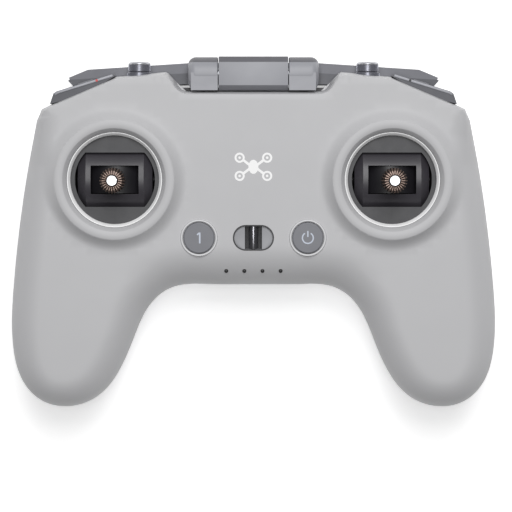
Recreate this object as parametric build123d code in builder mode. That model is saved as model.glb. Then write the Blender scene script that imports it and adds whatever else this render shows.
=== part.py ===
"""Hand-held radio transmitter: two stick gimbals, buttons, shoulder switches and a folding antenna.

It lies on its back. X is to the right, Y is towards the antenna and Z is up, out of the face.
"""

from build123d import *
from math import acos, cos, radians, sin
import os

os.makedirs("parts", exist_ok=True)

# ---------------------------------------------------------------- body
half_width = 95.0  # centre line to the widest point of a grip
bottom_y = -20.4  # edge between the grips
top_y = 62.8  # straight edge at the antenna end
grip_end_y = -68.5  # tip of the grips
parting_z = 20.0  # plane between the two shells
face_z = 35.0  # flat of the face
wall = 2.0
side_roll = 12.0  # how far in from the edge the face starts to fall away
bottom_roll = 16.0
top_roll = 1.5
back_side_roll = 14.0
bay_y = 56.8  # top side of the back shell, which leaves a bay for the antenna
scoop_half_width = 26.0  # raised part of the back, between the grips
scoop_run = 14.0
scoop_z = 7.0
scoop_end_y = -4.0

# ---------------------------------------------------------------- gimbals
gimbal_side_gap = 41.5  # widest point of the body to a gimbal's centre
gimbal_y = 21.0
collar_radius = 23.0
collar_flat_inner = 19.9
collar_bore = 18.4
collar_rise = 3.5
flare_width = 4.5
trim_bore = 17.1
trim_height = 2.9
trim_clearance = 0.05
plate_thickness = 1.6
window_length = 31.0
window_width = 21.0
housing_inner = 15.4
housing_wall = 2.2
housing_floor = 1.5
housing_depth = 25.0
pivot_below_plate = 10.5
drum_radius = 14.5
drum_wall = 1.3
drum_half_length = 14.4
drum_end = 1.2
drum_taper = 3.2  # the drum's ends narrow to clear the window's round ends
slot_length = 18.5
slot_width = 11.0
web_thickness = 1.6
hub_radius = 3.2
roll_drum_radius = 12.8
roll_drum_wall = 1.4
roll_drum_clearance = 0.3
trunnion_radius = 1.45
axle_radius = 1.25
bearing_radius = 3.0
running_clearance = 0.05
shaft_radius = 2.0
thread_radius = 1.5
stick_reach = 30.0  # pivot to the top of the crown
crown_radius = 4.8
crown_height = 9.9
crown_teeth = 24
cap_radius = 2.0
cap_depth = 0.6
collar_nut_radius = 3.0
collar_nut_height = 2.4
ear_radius = 3.2
ear_thickness = 2.4
ear_offset = 19.6

# ---------------------------------------------------------------- face controls
button_x = 21.0
button_y = -1.4
button_radius = 6.0
button_gap = 0.3
button_proud = 0.6
button_travel = 0.6
switch_height = 2.6
stem_gap = 0.1
rim_width = 0.8
rim_rise = 0.5
flange_width = 0.8
led_y = -14.4
led_pitch = 7.03
led_radius = 0.75
cup_length = 15.7
cup_width = 9.8
cup_depth = 8.0
cup_wall = 1.2
cup_fit = 0.1
cup_pad_depth = 1.8
cup_channel_half = 3.3
lanyard_bar_radius = 1.7

# ---------------------------------------------------------------- top side controls
lever_inset = 50.8  # widest point of the body to a lever
lever_z = 27.5
lever_pivot_y = 55.5
ferrule_radius = 4.8
lever_top_y = 66.6
lever_bore_gap = 1.6
lever_cap_radius = 4.3
lever_seat_radius = 8.15  # domed top of a ferrule, about the lever's pivot
lever_gap = 0.25
lever_stem_radius = 1.6
lever_ball_radius = 2.2
lever_ball_gap = 0.3
plinth_low_z = 22.5
plinth_high_z = 32.5
shoulder_button_radius = 3.2
shoulder_button_travel = 0.8
shoulder_stem = 7.5

# ---------------------------------------------------------------- antenna
hinge_y = 62.0
hinge_z = 27.0
lug_radius = 6.4
lug_inner_x = 13.7
lug_outer_x = 25.3
knuckle_radius = 6.5
knuckle_gap = 0.3
pin_radius = 2.0
wing_tip_x = 72.7
wing_top_drop = 7.4  # hinge axis to the wings' upper edge
wing_bottom_z = 1.5
wing_outer_y = 66.4
wing_inner_y = 58.3
wing_wall = 1.4

# ---------------------------------------------------------------- inside
board_thickness = 1.6
board_z = 23.2
cell_radius = 9.2
cell_length = 65.0
cell_clearance = 0.1
post_radius = 3.5
board_post_radius = 2.5
ear_boss_radius = 2.8
screw_radius = 1.3
screw_head_radius = 2.5
screw_head_height = 2.0
screw_seat_z = 10.0
small_screw_radius = 1.0
small_screw_head = 1.9
small_screw_length = 7.0
ear_screw_bite = 2.4
storage_bore = 3.1
storage_wall = 0.9
storage_depth = 16.0
storage_x = 13.5
port_z = 13.0
port_length = 7.4
port_width = 9.0
port_height = 3.3
port_skin = 0.3

# ---------------------------------------------------------------- places worked out from the sizes
gimbal_x = half_width - gimbal_side_gap
lever_x = half_width - lever_inset
collar_z = face_z + collar_rise
plate_top_z = face_z - wall + 0.1
plate_bottom_z = plate_top_z - plate_thickness
pivot_z = plate_bottom_z - pivot_below_plate
housing_outer = housing_inner + housing_wall
crown_top_z = pivot_z + stick_reach
shell_roof_z = face_z - wall
sides = ((-1, "left"), (1, "right"))

# Outline of the right half, anticlockwise from the bottom edge: x, y and how far the edge rolls over.
grip_outline = [
    (17.0, bottom_y, bottom_roll),
    (half_width - 62.3, bottom_y - 1.5, bottom_roll),
    (half_width - 55.8, bottom_y - 6.2, 14.0),
    (half_width - 48.2, bottom_y - 20.3, side_roll),
    (half_width - 41.9, grip_end_y + 13.7, side_roll),
    (half_width - 34.1, grip_end_y + 4.3, side_roll),
    (half_width - 23.0, grip_end_y, side_roll),
    (half_width - 12.2, grip_end_y + 1.9, side_roll),
    (half_width - 4.7, grip_end_y + 9.0, side_roll),
    (half_width - 0.4, grip_end_y + 23.1, side_roll),
    (half_width - 0.6, -22.0, side_roll),
    (half_width - 3.1, 1.6, side_roll),
    (half_width - 7.1, 27.4, side_roll),
    (half_width - 10.4, top_y - 18.9, 5.0),
]
shoulder_outline = [
    (half_width - 16.2, top_y - 12.7, top_roll),
    (half_width - 41.7, top_y - 1.9, top_roll),
    (half_width - 61.5, top_y, top_roll),
]
right_outline = grip_outline + shoulder_outline
full_outline = right_outline + [(-x, y, roll) for x, y, roll in reversed(right_outline)]
shoulder_start = Vector(shoulder_outline[0][0], shoulder_outline[0][1])
shoulder_end = Vector(shoulder_outline[1][0], shoulder_outline[1][1])


def inset_outline(inset, roll_share, roll_scale=1.0):
    """Outline points moved inwards by inset plus a share of each point's own roll."""
    count = len(full_outline)
    moved = []
    for i, (x, y, roll) in enumerate(full_outline):
        ahead = full_outline[(i + 1) % count]
        behind = full_outline[i - 1]
        along = Vector(ahead[0] - behind[0], ahead[1] - behind[1]).normalized()
        inwards = Vector(-along.Y, along.X)
        moved.append(Vector(x, y) + inwards * (inset + roll * roll_scale * roll_share))
    return moved


def section(z, points):
    """Face at height z through the outline points: splines for the grips, straight lines elsewhere."""
    grip_count = len(grip_outline)
    right = points[:grip_count]
    left = points[-grip_count:]
    with BuildSketch(Plane.XY.offset(z)) as outline:
        with BuildLine():
            Spline(*right)
            Polyline(*points[grip_count - 1 : len(points) - grip_count + 1])
            Spline(*left)
            Line(left[-1], right[0])
        make_face()
    return outline.sketch


def rolled_body(base_z, height, inset, roll_scale):
    """Solid whose edge turns over on a quarter of an ellipse, from base_z up or down by height."""
    with BuildPart() as body:
        for turn in (0, 22, 44, 62, 76, 90):
            angle = radians(turn)
            add(section(base_z + height * sin(angle), inset_outline(inset, 1 - cos(angle), roll_scale)))
        loft()
    return body.part


def roll_height(distance, roll, height):
    """Height of the rolled edge at a distance in from the outline."""
    return height * sin(acos(1 - min(distance / roll, 1)))


def box_between(x0, x1, y0, y1, z0, z1):
    """Box between two corners, kept out of any builder."""
    centre = ((x0 + x1) / 2, (y0 + y1) / 2, (z0 + z1) / 2)
    return Pos(*centre) * Box(abs(x1 - x0), abs(y1 - y0), abs(z1 - z0), mode=Mode.PRIVATE)


def rod_y(radius, x, z, y0, y1):
    """Cylinder along Y, kept out of any builder."""
    return Pos(x, (y0 + y1) / 2, z) * Rot(90, 0, 0) * Cylinder(radius, abs(y1 - y0), mode=Mode.PRIVATE)


def rod_x(radius, y, z, x0, x1):
    """Cylinder along X, kept out of any builder."""
    return Pos((x0 + x1) / 2, y, z) * Rot(0, 90, 0) * Cylinder(radius, abs(x1 - x0), mode=Mode.PRIVATE)


def rod_z(radius, x, y, z0, z1):
    """Cylinder along Z, kept out of any builder."""
    return Pos(x, y, (z0 + z1) / 2) * Cylinder(radius, abs(z1 - z0), mode=Mode.PRIVATE)


def save(part, name):
    """Label a finished piece and write it under its own name."""
    part.label = name
    export_step(part, f"parts/{name}.step")


# ---------------------------------------------------------------- shoulder ledges
shoulder_along = (shoulder_end - shoulder_start).normalized()
shoulder_out = Vector(-shoulder_along.Y, shoulder_along.X) * -1
plinth_outline = [
    shoulder_start + shoulder_along * 0.3,
    shoulder_start + shoulder_along * 3.2 + shoulder_out * 3.2,
    shoulder_start + shoulder_along * 4.7 + shoulder_out * 3.45,
    shoulder_end - shoulder_along * 0.5 + shoulder_out * 1.1,
    shoulder_end - shoulder_along * 0.1,
]
shoulder_middle = (shoulder_start + shoulder_end) * 0.5
shoulder_z = (plinth_low_z + plinth_high_z) / 2
ledge_middle = (plinth_outline[2] + plinth_outline[3]) * 0.5
ledge_along = (plinth_outline[3] - plinth_outline[2]).normalized()
ledge_plane = Plane(
    origin=(ledge_middle.X, ledge_middle.Y, shoulder_z),
    x_dir=ledge_along,
    z_dir=(ledge_along.Y, -ledge_along.X, 0),
)
shoulder_bore = shoulder_button_radius + button_gap / 2
lever_bore = lever_stem_radius + lever_bore_gap


def ledge_rod(radius, low, high):
    """Cylinder square to the right-hand ledge, between two heights over it."""
    return ledge_plane * Pos(0, 0, (low + high) / 2) * Cylinder(radius, high - low, mode=Mode.PRIVATE)


# ---------------------------------------------------------------- shells
front_outer = rolled_body(parting_z, face_z - parting_z, 0, 1)
front_inner = rolled_body(parting_z, shell_roof_z - parting_z, wall, 1)
back_roll_scale = back_side_roll / side_roll
back_outer = rolled_body(parting_z, -parting_z, 0, back_roll_scale)
back_inner = rolled_body(parting_z, wall - parting_z, wall, back_roll_scale)

post_places = [
    (half_width - 15.5, 30.0),
    (half_width - 24.0, -47.0),
    (28.0, bottom_y + 7.4),
    (32.0, top_y - 10.8),
]
all_posts = [(side * x, y) for side, _ in sides for x, y in post_places]
board_posts = [(side * 27.0, y) for side, _ in sides for y in (10.0, 42.0)]
ear_places = [
    (side * gimbal_x + dx * ear_offset, gimbal_y + dy * ear_offset)
    for side, _ in sides
    for dx in (-1, 1)
    for dy in (-1, 1)
]
notch_half = lug_outer_x + 0.4
notch_floor_y = hinge_y - knuckle_radius - knuckle_gap


def notch_outline(grow):
    """Plan of the hinge notch, grown sideways and inwards."""
    corner = notch_half + grow
    return [
        (-corner - 7.8, top_y + 8),
        (-corner - 7.8, top_y),
        (-corner - 3.9, notch_floor_y + 3.6 - grow),
        (-corner, notch_floor_y - grow),
        (corner, notch_floor_y - grow),
        (corner + 3.9, notch_floor_y + 3.6 - grow),
        (corner + 7.8, top_y),
        (corner + 7.8, top_y + 8),
    ]


with BuildPart() as front_cavity:
    add(front_inner)
    with BuildSketch(Plane.XY.offset(parting_z)):
        with BuildLine():
            Polyline(*notch_outline(wall), close=True)
        make_face()
    extrude(amount=face_z, mode=Mode.SUBTRACT)
    with BuildSketch(Plane.XY.offset(parting_z)):
        with Locations((0, (bay_y - wall + top_y) / 2)):
            Rectangle(2 * half_width, top_y - bay_y + wall)
    extrude(amount=wall, mode=Mode.SUBTRACT)
    with BuildSketch(Plane.XY.offset(parting_z)):
        with Locations(*all_posts):
            Circle(post_radius)
    extrude(amount=face_z - parting_z, mode=Mode.SUBTRACT)
    with BuildSketch(Plane.XY.offset(board_z + board_thickness)):
        with Locations(*board_posts):
            Circle(board_post_radius)
    extrude(amount=face_z - board_z, mode=Mode.SUBTRACT)
    ear_top_z = plate_bottom_z - 1.2
    with BuildSketch(Plane.XY.offset(ear_top_z)):
        with Locations(*ear_places):
            Circle(ear_boss_radius)
    extrude(amount=face_z - ear_top_z, mode=Mode.SUBTRACT)

with BuildPart() as front_shell:
    add(front_outer)
    with BuildSketch(Plane.XZ) as collar_profile:
        with BuildLine():
            Polyline(
                (collar_radius + flare_width, face_z - 0.4),
                (collar_radius + flare_width, parting_z + 8),
                (0, parting_z + 8),
                (0, collar_z),
                (collar_radius, collar_z),
            )
            ThreePointArc(
                (collar_radius, collar_z),
                (collar_radius + 0.3 * flare_width, face_z + 0.3 * collar_rise),
                (collar_radius + flare_width, face_z - 0.4),
            )
        make_face()
    collar_blank = revolve(collar_profile.sketch, axis=Axis.Z, mode=Mode.PRIVATE)
    with Locations((-gimbal_x, gimbal_y, 0), (gimbal_x, gimbal_y, 0)):
        add(collar_blank)
    with BuildSketch(Plane.XY.offset(face_z - 1)):
        with Locations((-button_x, button_y), (button_x, button_y)):
            Circle(button_radius + button_gap + rim_width)
    extrude(amount=1 + rim_rise)
    with BuildSketch(Plane.XY.offset(parting_z)):
        with BuildLine():
            Polyline(*notch_outline(0), close=True)
        make_face()
    extrude(amount=face_z, mode=Mode.SUBTRACT)
    add(front_cavity.part, mode=Mode.SUBTRACT)
    for side, _ in sides:
        with Locations((side * gimbal_x, gimbal_y, collar_z)):
            Cylinder(collar_bore, 2 * (collar_z - parting_z - 8), mode=Mode.SUBTRACT)
            Cone(
                collar_bore,
                collar_flat_inner + (collar_flat_inner - collar_bore),
                2 * 2.2,
                mode=Mode.SUBTRACT,
            )
    with BuildSketch(Plane.XY.offset(parting_z)):
        with Locations((-button_x, button_y), (button_x, button_y)):
            Circle(button_radius + button_gap)
        with Locations((0, button_y)):
            SlotOverall(cup_length + 2 * cup_fit, cup_width + 2 * cup_fit)
        with Locations(*[(x * led_pitch, led_y) for x in (-1.5, -0.5, 0.5, 1.5)]):
            Circle(led_radius + running_clearance)
    extrude(amount=face_z, mode=Mode.SUBTRACT)
    for side, _ in sides:
        lever_hole = rod_y(lever_bore, side * lever_x, lever_z, lever_pivot_y - 2, top_y + 3)
        add(lever_hole, mode=Mode.SUBTRACT)
    shoulder_hole = ledge_rod(shoulder_bore, -8, 2)
    add(shoulder_hole, mode=Mode.SUBTRACT)
    add(mirror(shoulder_hole, about=Plane.YZ), mode=Mode.SUBTRACT)
    with BuildSketch(Plane.XY.offset(parting_z - 1)):
        with Locations(*all_posts):
            Circle(screw_radius)
    extrude(amount=11, mode=Mode.SUBTRACT)
    with BuildSketch(Plane.XY.offset(board_z)):
        with Locations(*board_posts):
            Circle(small_screw_radius)
    extrude(amount=small_screw_length + 1, mode=Mode.SUBTRACT)
    with BuildSketch(Plane.XY.offset(ear_top_z)):
        with Locations(*ear_places):
            Circle(small_screw_radius)
    extrude(amount=ear_screw_bite, mode=Mode.SUBTRACT)

with BuildPart() as scoop_tool:
    with BuildSketch(Plane.XZ.offset(-scoop_end_y)):
        with BuildLine():
            Polyline(
                (-scoop_half_width - 1.3 * scoop_run, -scoop_z * 0.3),
                (-scoop_half_width - scoop_run, 0),
                (-scoop_half_width, scoop_z),
                (scoop_half_width, scoop_z),
                (scoop_half_width + scoop_run, 0),
                (scoop_half_width + 1.3 * scoop_run, -scoop_z * 0.3),
                close=True,
            )
        make_face()
    extrude(amount=-grip_end_y)

with BuildPart() as scoop_wall:
    with BuildSketch(Plane.XZ.offset(-scoop_end_y - wall)):
        with BuildLine():
            Polyline(
                (-scoop_half_width - scoop_run - 2 * wall, 0),
                (-scoop_half_width - wall / 2, scoop_z + wall),
                (scoop_half_width + wall / 2, scoop_z + wall),
                (scoop_half_width + scoop_run + 2 * wall, 0),
                close=True,
            )
        make_face()
    extrude(amount=-grip_end_y)

with BuildPart() as back_cavity:
    add(back_inner)
    add(scoop_wall.part, mode=Mode.SUBTRACT)
    with BuildSketch():
        with Locations((0, bay_y - wall + half_width / 2)):
            Rectangle(2 * half_width, half_width)
    extrude(amount=parting_z, mode=Mode.SUBTRACT)
    with BuildSketch():
        with Locations(*all_posts):
            Circle(post_radius)
    extrude(amount=parting_z, mode=Mode.SUBTRACT)

with BuildPart() as back_shell:
    add(back_outer)
    add(scoop_tool.part, mode=Mode.SUBTRACT)
    with BuildSketch(Plane.XY.offset(-1)):
        with Locations((0, bay_y + half_width / 2)):
            Rectangle(2 * half_width, half_width)
    extrude(amount=parting_z + 2, mode=Mode.SUBTRACT)
    add(back_cavity.part, mode=Mode.SUBTRACT)
    with BuildSketch(Plane.XY.offset(-1)):
        with Locations(*all_posts):
            Circle(screw_head_radius + 0.2)
    extrude(amount=screw_seat_z + 1, mode=Mode.SUBTRACT)
    with BuildSketch(Plane.XY.offset(-1)):
        with Locations(*all_posts):
            Circle(screw_radius + 0.1)
    extrude(amount=parting_z + 2, mode=Mode.SUBTRACT)
    add(
        box_between(
            -port_width / 2 - 0.1,
            port_width / 2 + 0.1,
            bottom_y - 3,
            bottom_y + 7,
            port_z - 0.1 - port_height / 2,
            port_z + 0.1 + port_height / 2,
        ),
        mode=Mode.SUBTRACT,
    )
    for side, _ in sides:
        sleeve_radius = storage_bore + storage_wall
        sleeve_hole = rod_y(sleeve_radius, side * storage_x, port_z + 1, bottom_y - 3, bottom_y + 7)
        add(sleeve_hole, mode=Mode.SUBTRACT)

save(front_shell.part, "front_shell")
save(back_shell.part, "back_shell")

# ---------------------------------------------------------------- gimbals


def sector(radius, length, axis_name):
    """Pie slice of a cylinder about X or Y, symmetrical about the upright, centred on the origin."""
    half_angle = radians(72)
    plane = Plane.YZ if axis_name == "X" else Plane.XZ
    with BuildPart() as slice_part:
        with BuildSketch(plane.offset(-length / 2)):
            with BuildLine():
                Line((0, 0), (radius * sin(half_angle), radius * cos(half_angle)))
                ThreePointArc(
                    (radius * sin(half_angle), radius * cos(half_angle)),
                    (0, radius),
                    (-radius * sin(half_angle), radius * cos(half_angle)),
                )
                Line((-radius * sin(half_angle), radius * cos(half_angle)), (0, 0))
            make_face()
        extrude(amount=length)
    return slice_part.part


def barrel(radius, half_length):
    """Solid of revolution about X with tapered ends, centred on the origin."""
    shoulder = half_length - drum_taper
    with BuildPart() as solid:
        with BuildSketch(Plane.XY):
            with BuildLine():
                Polyline(
                    (-half_length, 0),
                    (-half_length, radius - drum_taper),
                    (-shoulder, radius),
                    (shoulder, radius),
                    (half_length, radius - drum_taper),
                    (half_length, 0),
                    close=True,
                )
            make_face()
        revolve(axis=Axis.X)
    return solid.part


roll_half_width = slot_width / 2 - roll_drum_clearance
web_y = slot_width / 2

for side, name in sides:
    centre = (side * gimbal_x, gimbal_y)

    with BuildPart(Plane(origin=(*centre, 0))) as trim:
        with BuildSketch(Plane.XZ) as trim_profile:
            with BuildLine():
                Polyline(
                    (trim_bore, plate_top_z),
                    (collar_bore - trim_clearance, plate_top_z),
                    (collar_bore - trim_clearance, plate_top_z + trim_height),
                    (collar_bore - trim_clearance - 0.4, plate_top_z + trim_height),
                    (trim_bore, plate_top_z + trim_height - 1.2),
                    close=True,
                )
            make_face()
        ring = revolve(trim_profile.sketch, axis=Axis.Z, mode=Mode.PRIVATE)
        add(ring)
    save(trim.part, f"{name}_gimbal_trim")

    with BuildPart() as plate:
        with BuildSketch(Plane(origin=(*centre, plate_bottom_z))):
            Circle(collar_bore - trim_clearance)
            window = Rectangle(window_length, window_width, mode=Mode.PRIVATE)
            ends = Circle(window_length / 2, mode=Mode.PRIVATE)
            add(window & ends, mode=Mode.SUBTRACT)
        extrude(amount=plate_thickness)
    save(plate.part, f"{name}_gimbal_plate")

    with BuildPart() as housing:
        housing_low_z = plate_bottom_z - housing_depth
        with BuildSketch(Plane(origin=(*centre, housing_low_z))):
            Rectangle(2 * housing_outer, 2 * housing_outer)
        extrude(amount=housing_depth)
        with BuildSketch(Plane(origin=(*centre, ear_top_z - ear_thickness))):
            for corner in (ear_offset, ear_offset - 2):
                with Locations(*[(dx * corner, dy * corner) for dx in (-1, 1) for dy in (-1, 1)]):
                    Circle(ear_radius)
        extrude(amount=ear_thickness)
        with BuildSketch(Plane(origin=(*centre, housing_low_z + housing_floor))):
            RectangleRounded(2 * housing_inner, 2 * housing_inner, 1.0)
        extrude(amount=housing_depth, mode=Mode.SUBTRACT)
        with BuildSketch(Plane(origin=(*centre, 0))):
            with Locations(*[(dx * ear_offset, dy * ear_offset) for dx in (-1, 1) for dy in (-1, 1)]):
                Circle(small_screw_radius + 0.1)
        extrude(amount=face_z, mode=Mode.SUBTRACT)
        reach = housing_outer + 1
        bore = rod_x(bearing_radius, gimbal_y, pivot_z, centre[0] - reach, centre[0] + reach)
        add(bore, mode=Mode.SUBTRACT)
    save(housing.part, f"{name}_gimbal_housing")

    with BuildPart() as pitch_drum:
        hollow = drum_half_length - drum_end
        add(Pos(*centre, pivot_z) * sector(drum_radius, 2 * drum_half_length, "X"))
        add(Pos(*centre, pivot_z) * barrel(drum_radius, drum_half_length), mode=Mode.INTERSECT)
        add(Pos(*centre, pivot_z) * barrel(drum_radius - drum_wall, hollow), mode=Mode.SUBTRACT)
        with BuildPart(mode=Mode.PRIVATE) as webs:
            for end in (-1, 1):
                near = gimbal_y + end * web_y
                far = gimbal_y + end * (web_y + web_thickness)
                with BuildSketch(Plane.XZ.offset(-max(near, far))):
                    with BuildLine():
                        Polyline(
                            (centre[0] - 3.2, pivot_z - 1),
                            (centre[0] + 3.2, pivot_z - 1),
                            (centre[0] + hollow, pivot_z + 6),
                            (centre[0] + hollow, pivot_z + drum_radius),
                            (centre[0] - hollow, pivot_z + drum_radius),
                            (centre[0] - hollow, pivot_z + 6),
                            close=True,
                        )
                    make_face()
                extrude(amount=web_thickness)
                add(rod_y(hub_radius, centre[0], pivot_z, near, far))
            add(Pos(*centre, pivot_z) * barrel(drum_radius - 0.4, hollow + 0.2), mode=Mode.INTERSECT)
        add(webs.part)
        for end in (-1, 1):
            disc_x = centre[0] + end * hollow
            add(rod_x(hub_radius, gimbal_y, pivot_z, disc_x, centre[0] + end * drum_half_length))
            add(rod_x(trunnion_radius, gimbal_y, pivot_z, disc_x, centre[0] + end * (housing_outer + 0.8)))
        slot = box_between(
            centre[0] - slot_length / 2,
            centre[0] + slot_length / 2,
            gimbal_y - slot_width / 2,
            gimbal_y + slot_width / 2,
            pivot_z + 8,
            pivot_z + drum_radius + 1,
        )
        add(slot, mode=Mode.SUBTRACT)
        add(rod_y(axle_radius, centre[0], pivot_z, gimbal_y - 12, gimbal_y + 12), mode=Mode.SUBTRACT)
    save(pitch_drum.part, f"{name}_pitch_drum")

    with BuildPart() as roll_axle:
        reach_y = web_y + web_thickness + 0.6
        add(rod_y(axle_radius, centre[0], pivot_z, gimbal_y - reach_y, gimbal_y + reach_y))
    save(roll_axle.part, f"{name}_roll_axle")

    shaft_seat_z = pivot_z + 4.0
    with BuildPart() as roll_drum:
        add(Pos(*centre, pivot_z) * sector(roll_drum_radius, 2 * roll_half_width, "Y"))
        inner_radius = roll_drum_radius - roll_drum_wall
        for end in (-1, 1):
            pocket_y = gimbal_y + end * 0.8
            edge_y = gimbal_y + end * roll_half_width
            add(rod_y(inner_radius, centre[0], pivot_z, pocket_y, edge_y), mode=Mode.SUBTRACT)
        add(rod_y(hub_radius, centre[0], pivot_z, gimbal_y - roll_half_width, gimbal_y + roll_half_width))
        add(rod_z(shaft_radius + 1.4, *centre, pivot_z + 1, pivot_z + roll_drum_radius - 0.5))
        axle_bore = axle_radius + running_clearance
        add(rod_y(axle_bore, centre[0], pivot_z, gimbal_y - 12, gimbal_y + 12), mode=Mode.SUBTRACT)
        add(rod_z(shaft_radius, *centre, shaft_seat_z, pivot_z + 20), mode=Mode.SUBTRACT)
    save(roll_drum.part, f"{name}_roll_drum")

    crown_low_z = crown_top_z - crown_height
    nut_top_z = crown_low_z - 0.2
    nut_low_z = nut_top_z - collar_nut_height
    thread_top_z = crown_top_z - cap_depth - 1.2
    with BuildPart() as shaft:
        add(rod_z(shaft_radius, *centre, shaft_seat_z, nut_low_z))
        add(rod_z(thread_radius, *centre, nut_low_z, thread_top_z))
    save(shaft.part, f"{name}_stick_shaft")

    with BuildPart() as nut:
        with BuildSketch(Plane(origin=(*centre, nut_low_z))):
            RegularPolygon(collar_nut_radius, 6)
            Circle(thread_radius, mode=Mode.SUBTRACT)
        extrude(amount=collar_nut_height)
    save(nut.part, f"{name}_stick_nut")

    with BuildPart() as crown:
        with BuildSketch(Plane(origin=(*centre, crown_low_z))):
            Circle(crown_radius)
        extrude(amount=crown_height)
        chamfer(crown.edges().sort_by(Axis.Z)[-1], 0.8)
        with BuildSketch(Plane(origin=(*centre, crown_top_z - 1.0))):
            with PolarLocations(crown_radius - 0.9, crown_teeth):
                Rectangle(2.6, 0.45)
        extrude(amount=2, mode=Mode.SUBTRACT)
        crown_bore = thread_radius + running_clearance
        add(rod_z(crown_bore, *centre, crown_low_z - 1, thread_top_z + 0.3), mode=Mode.SUBTRACT)
        add(rod_z(cap_radius, *centre, crown_top_z - cap_depth, crown_top_z + 1), mode=Mode.SUBTRACT)
    save(crown.part, f"{name}_stick_crown")

    with BuildPart() as cap:
        add(rod_z(cap_radius, *centre, crown_top_z - cap_depth, crown_top_z))
    save(cap.part, f"{name}_crown_cap")


with BuildPart() as gimbal_bearings:
    for side, _ in sides:
        for end in (-1, 1):
            inner_x = side * gimbal_x + end * housing_inner
            outer_x = side * gimbal_x + end * housing_outer
            add(rod_x(bearing_radius, gimbal_y, pivot_z, inner_x, outer_x))
    bearing_bore = trunnion_radius + running_clearance
    add(rod_x(bearing_bore, gimbal_y, pivot_z, -half_width, half_width), mode=Mode.SUBTRACT)
save(gimbal_bearings.part, "gimbal_bearings")

with BuildPart() as hall_sensors:
    for side, _ in sides:
        housing_face = side * (gimbal_x + housing_outer)
        sensor_face = side * (gimbal_x + housing_outer + 1.2)
        far_face = sensor_face + side
        add(box_between(sensor_face, far_face, gimbal_y - 5, gimbal_y + 5, pivot_z - 7, pivot_z + 4))
        for end in (-1, 1):
            add(rod_x(0.8, gimbal_y + end * 4, pivot_z - 6, housing_face, sensor_face))
save(hall_sensors.part, "hall_sensors")

with BuildPart() as gimbal_screws:
    head_z = ear_top_z - ear_thickness
    for x, y in ear_places:
        add(rod_z(small_screw_head, x, y, head_z - 1.3, head_z))
        add(rod_z(small_screw_radius, x, y, head_z, ear_top_z + ear_screw_bite))
save(gimbal_screws.part, "gimbal_screws")

# ---------------------------------------------------------------- buttons, lights and lanyard cup
board_top_z = board_z + board_thickness
for side, name in ((-1, "custom_button"), (1, "power_button")):
    with BuildPart() as button:
        top_z = face_z + button_proud
        add(rod_z(button_radius, side * button_x, button_y, shell_roof_z - 2.4, top_z))
        chamfer(button.edges().filter_by(GeomType.CIRCLE).sort_by(Axis.Z)[-1], 0.3)
        flange_z = shell_roof_z - 1.2
        add(rod_z(button_radius + flange_width, side * button_x, button_y, flange_z - 1.2, flange_z))
        stem_low_z = board_top_z + switch_height + button_travel + stem_gap
        add(rod_z(2.0, side * button_x, button_y, stem_low_z, flange_z))
    save(button.part, name)

with BuildPart() as tact_switches:
    for side, _ in sides:
        with Locations((side * button_x, button_y, board_top_z)):
            Box(6, 6, 2.0, align=(Align.CENTER, Align.CENTER, Align.MIN))
            Cylinder(1.6, switch_height, align=(Align.CENTER, Align.CENTER, Align.MIN))
save(tact_switches.part, "tact_switches")

led_surface_z = parting_z + roll_height(led_y - bottom_y, bottom_roll, face_z - parting_z)
with BuildPart() as status_lights:
    with BuildSketch(Plane.XY.offset(board_top_z)):
        with Locations(*[(x * led_pitch, led_y) for x in (-1.5, -0.5, 0.5, 1.5)]):
            Circle(led_radius)
    extrude(amount=led_surface_z - board_top_z)
save(status_lights.part, "status_lights")

cup_top_z = face_z - 0.3
cup_low_z = cup_top_z - cup_depth
bar_z = cup_top_z - 2.2
with BuildPart() as lanyard_cup:
    with BuildSketch(Plane.XY.offset(cup_low_z)):
        with Locations((0, button_y)):
            SlotOverall(cup_length, cup_width)
    extrude(amount=cup_depth)
    with BuildSketch(Plane.XY.offset(cup_top_z - cup_pad_depth)):
        with Locations((0, button_y)):
            SlotOverall(cup_length - 2 * cup_wall, cup_width - 2 * cup_wall)
    extrude(amount=cup_pad_depth + 1, mode=Mode.SUBTRACT)
    with BuildSketch(Plane.XY.offset(cup_low_z + cup_wall)):
        with Locations((0, button_y)):
            Rectangle(2 * cup_channel_half, cup_width - 2 * cup_wall)
    extrude(amount=cup_depth, mode=Mode.SUBTRACT)
    bar_seat = cup_width / 2 - 0.4
    add(rod_y(lanyard_bar_radius, 0, bar_z, button_y - bar_seat, button_y + bar_seat), mode=Mode.SUBTRACT)
save(lanyard_cup.part, "lanyard_cup")

with BuildPart() as lanyard_bar:
    add(rod_y(lanyard_bar_radius, 0, bar_z, button_y - bar_seat, button_y + bar_seat))
save(lanyard_bar.part, "lanyard_bar")

# ---------------------------------------------------------------- switch levers and shoulder pieces
lever_pivots = [(side * lever_x, lever_pivot_y, lever_z) for side, _ in sides]
with BuildPart() as switch_ferrules:
    for side, _ in sides:
        add(rod_y(ferrule_radius, side * lever_x, lever_z, top_y - 1.6, lever_top_y))
    with BuildPart(mode=Mode.INTERSECT):
        with Locations(*lever_pivots):
            Sphere(lever_seat_radius)
    add(front_outer, mode=Mode.SUBTRACT)
    for side, _ in sides:
        add(rod_y(lever_bore, side * lever_x, lever_z, top_y - 4, lever_top_y), mode=Mode.SUBTRACT)
save(switch_ferrules.part, "switch_ferrules")

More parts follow.
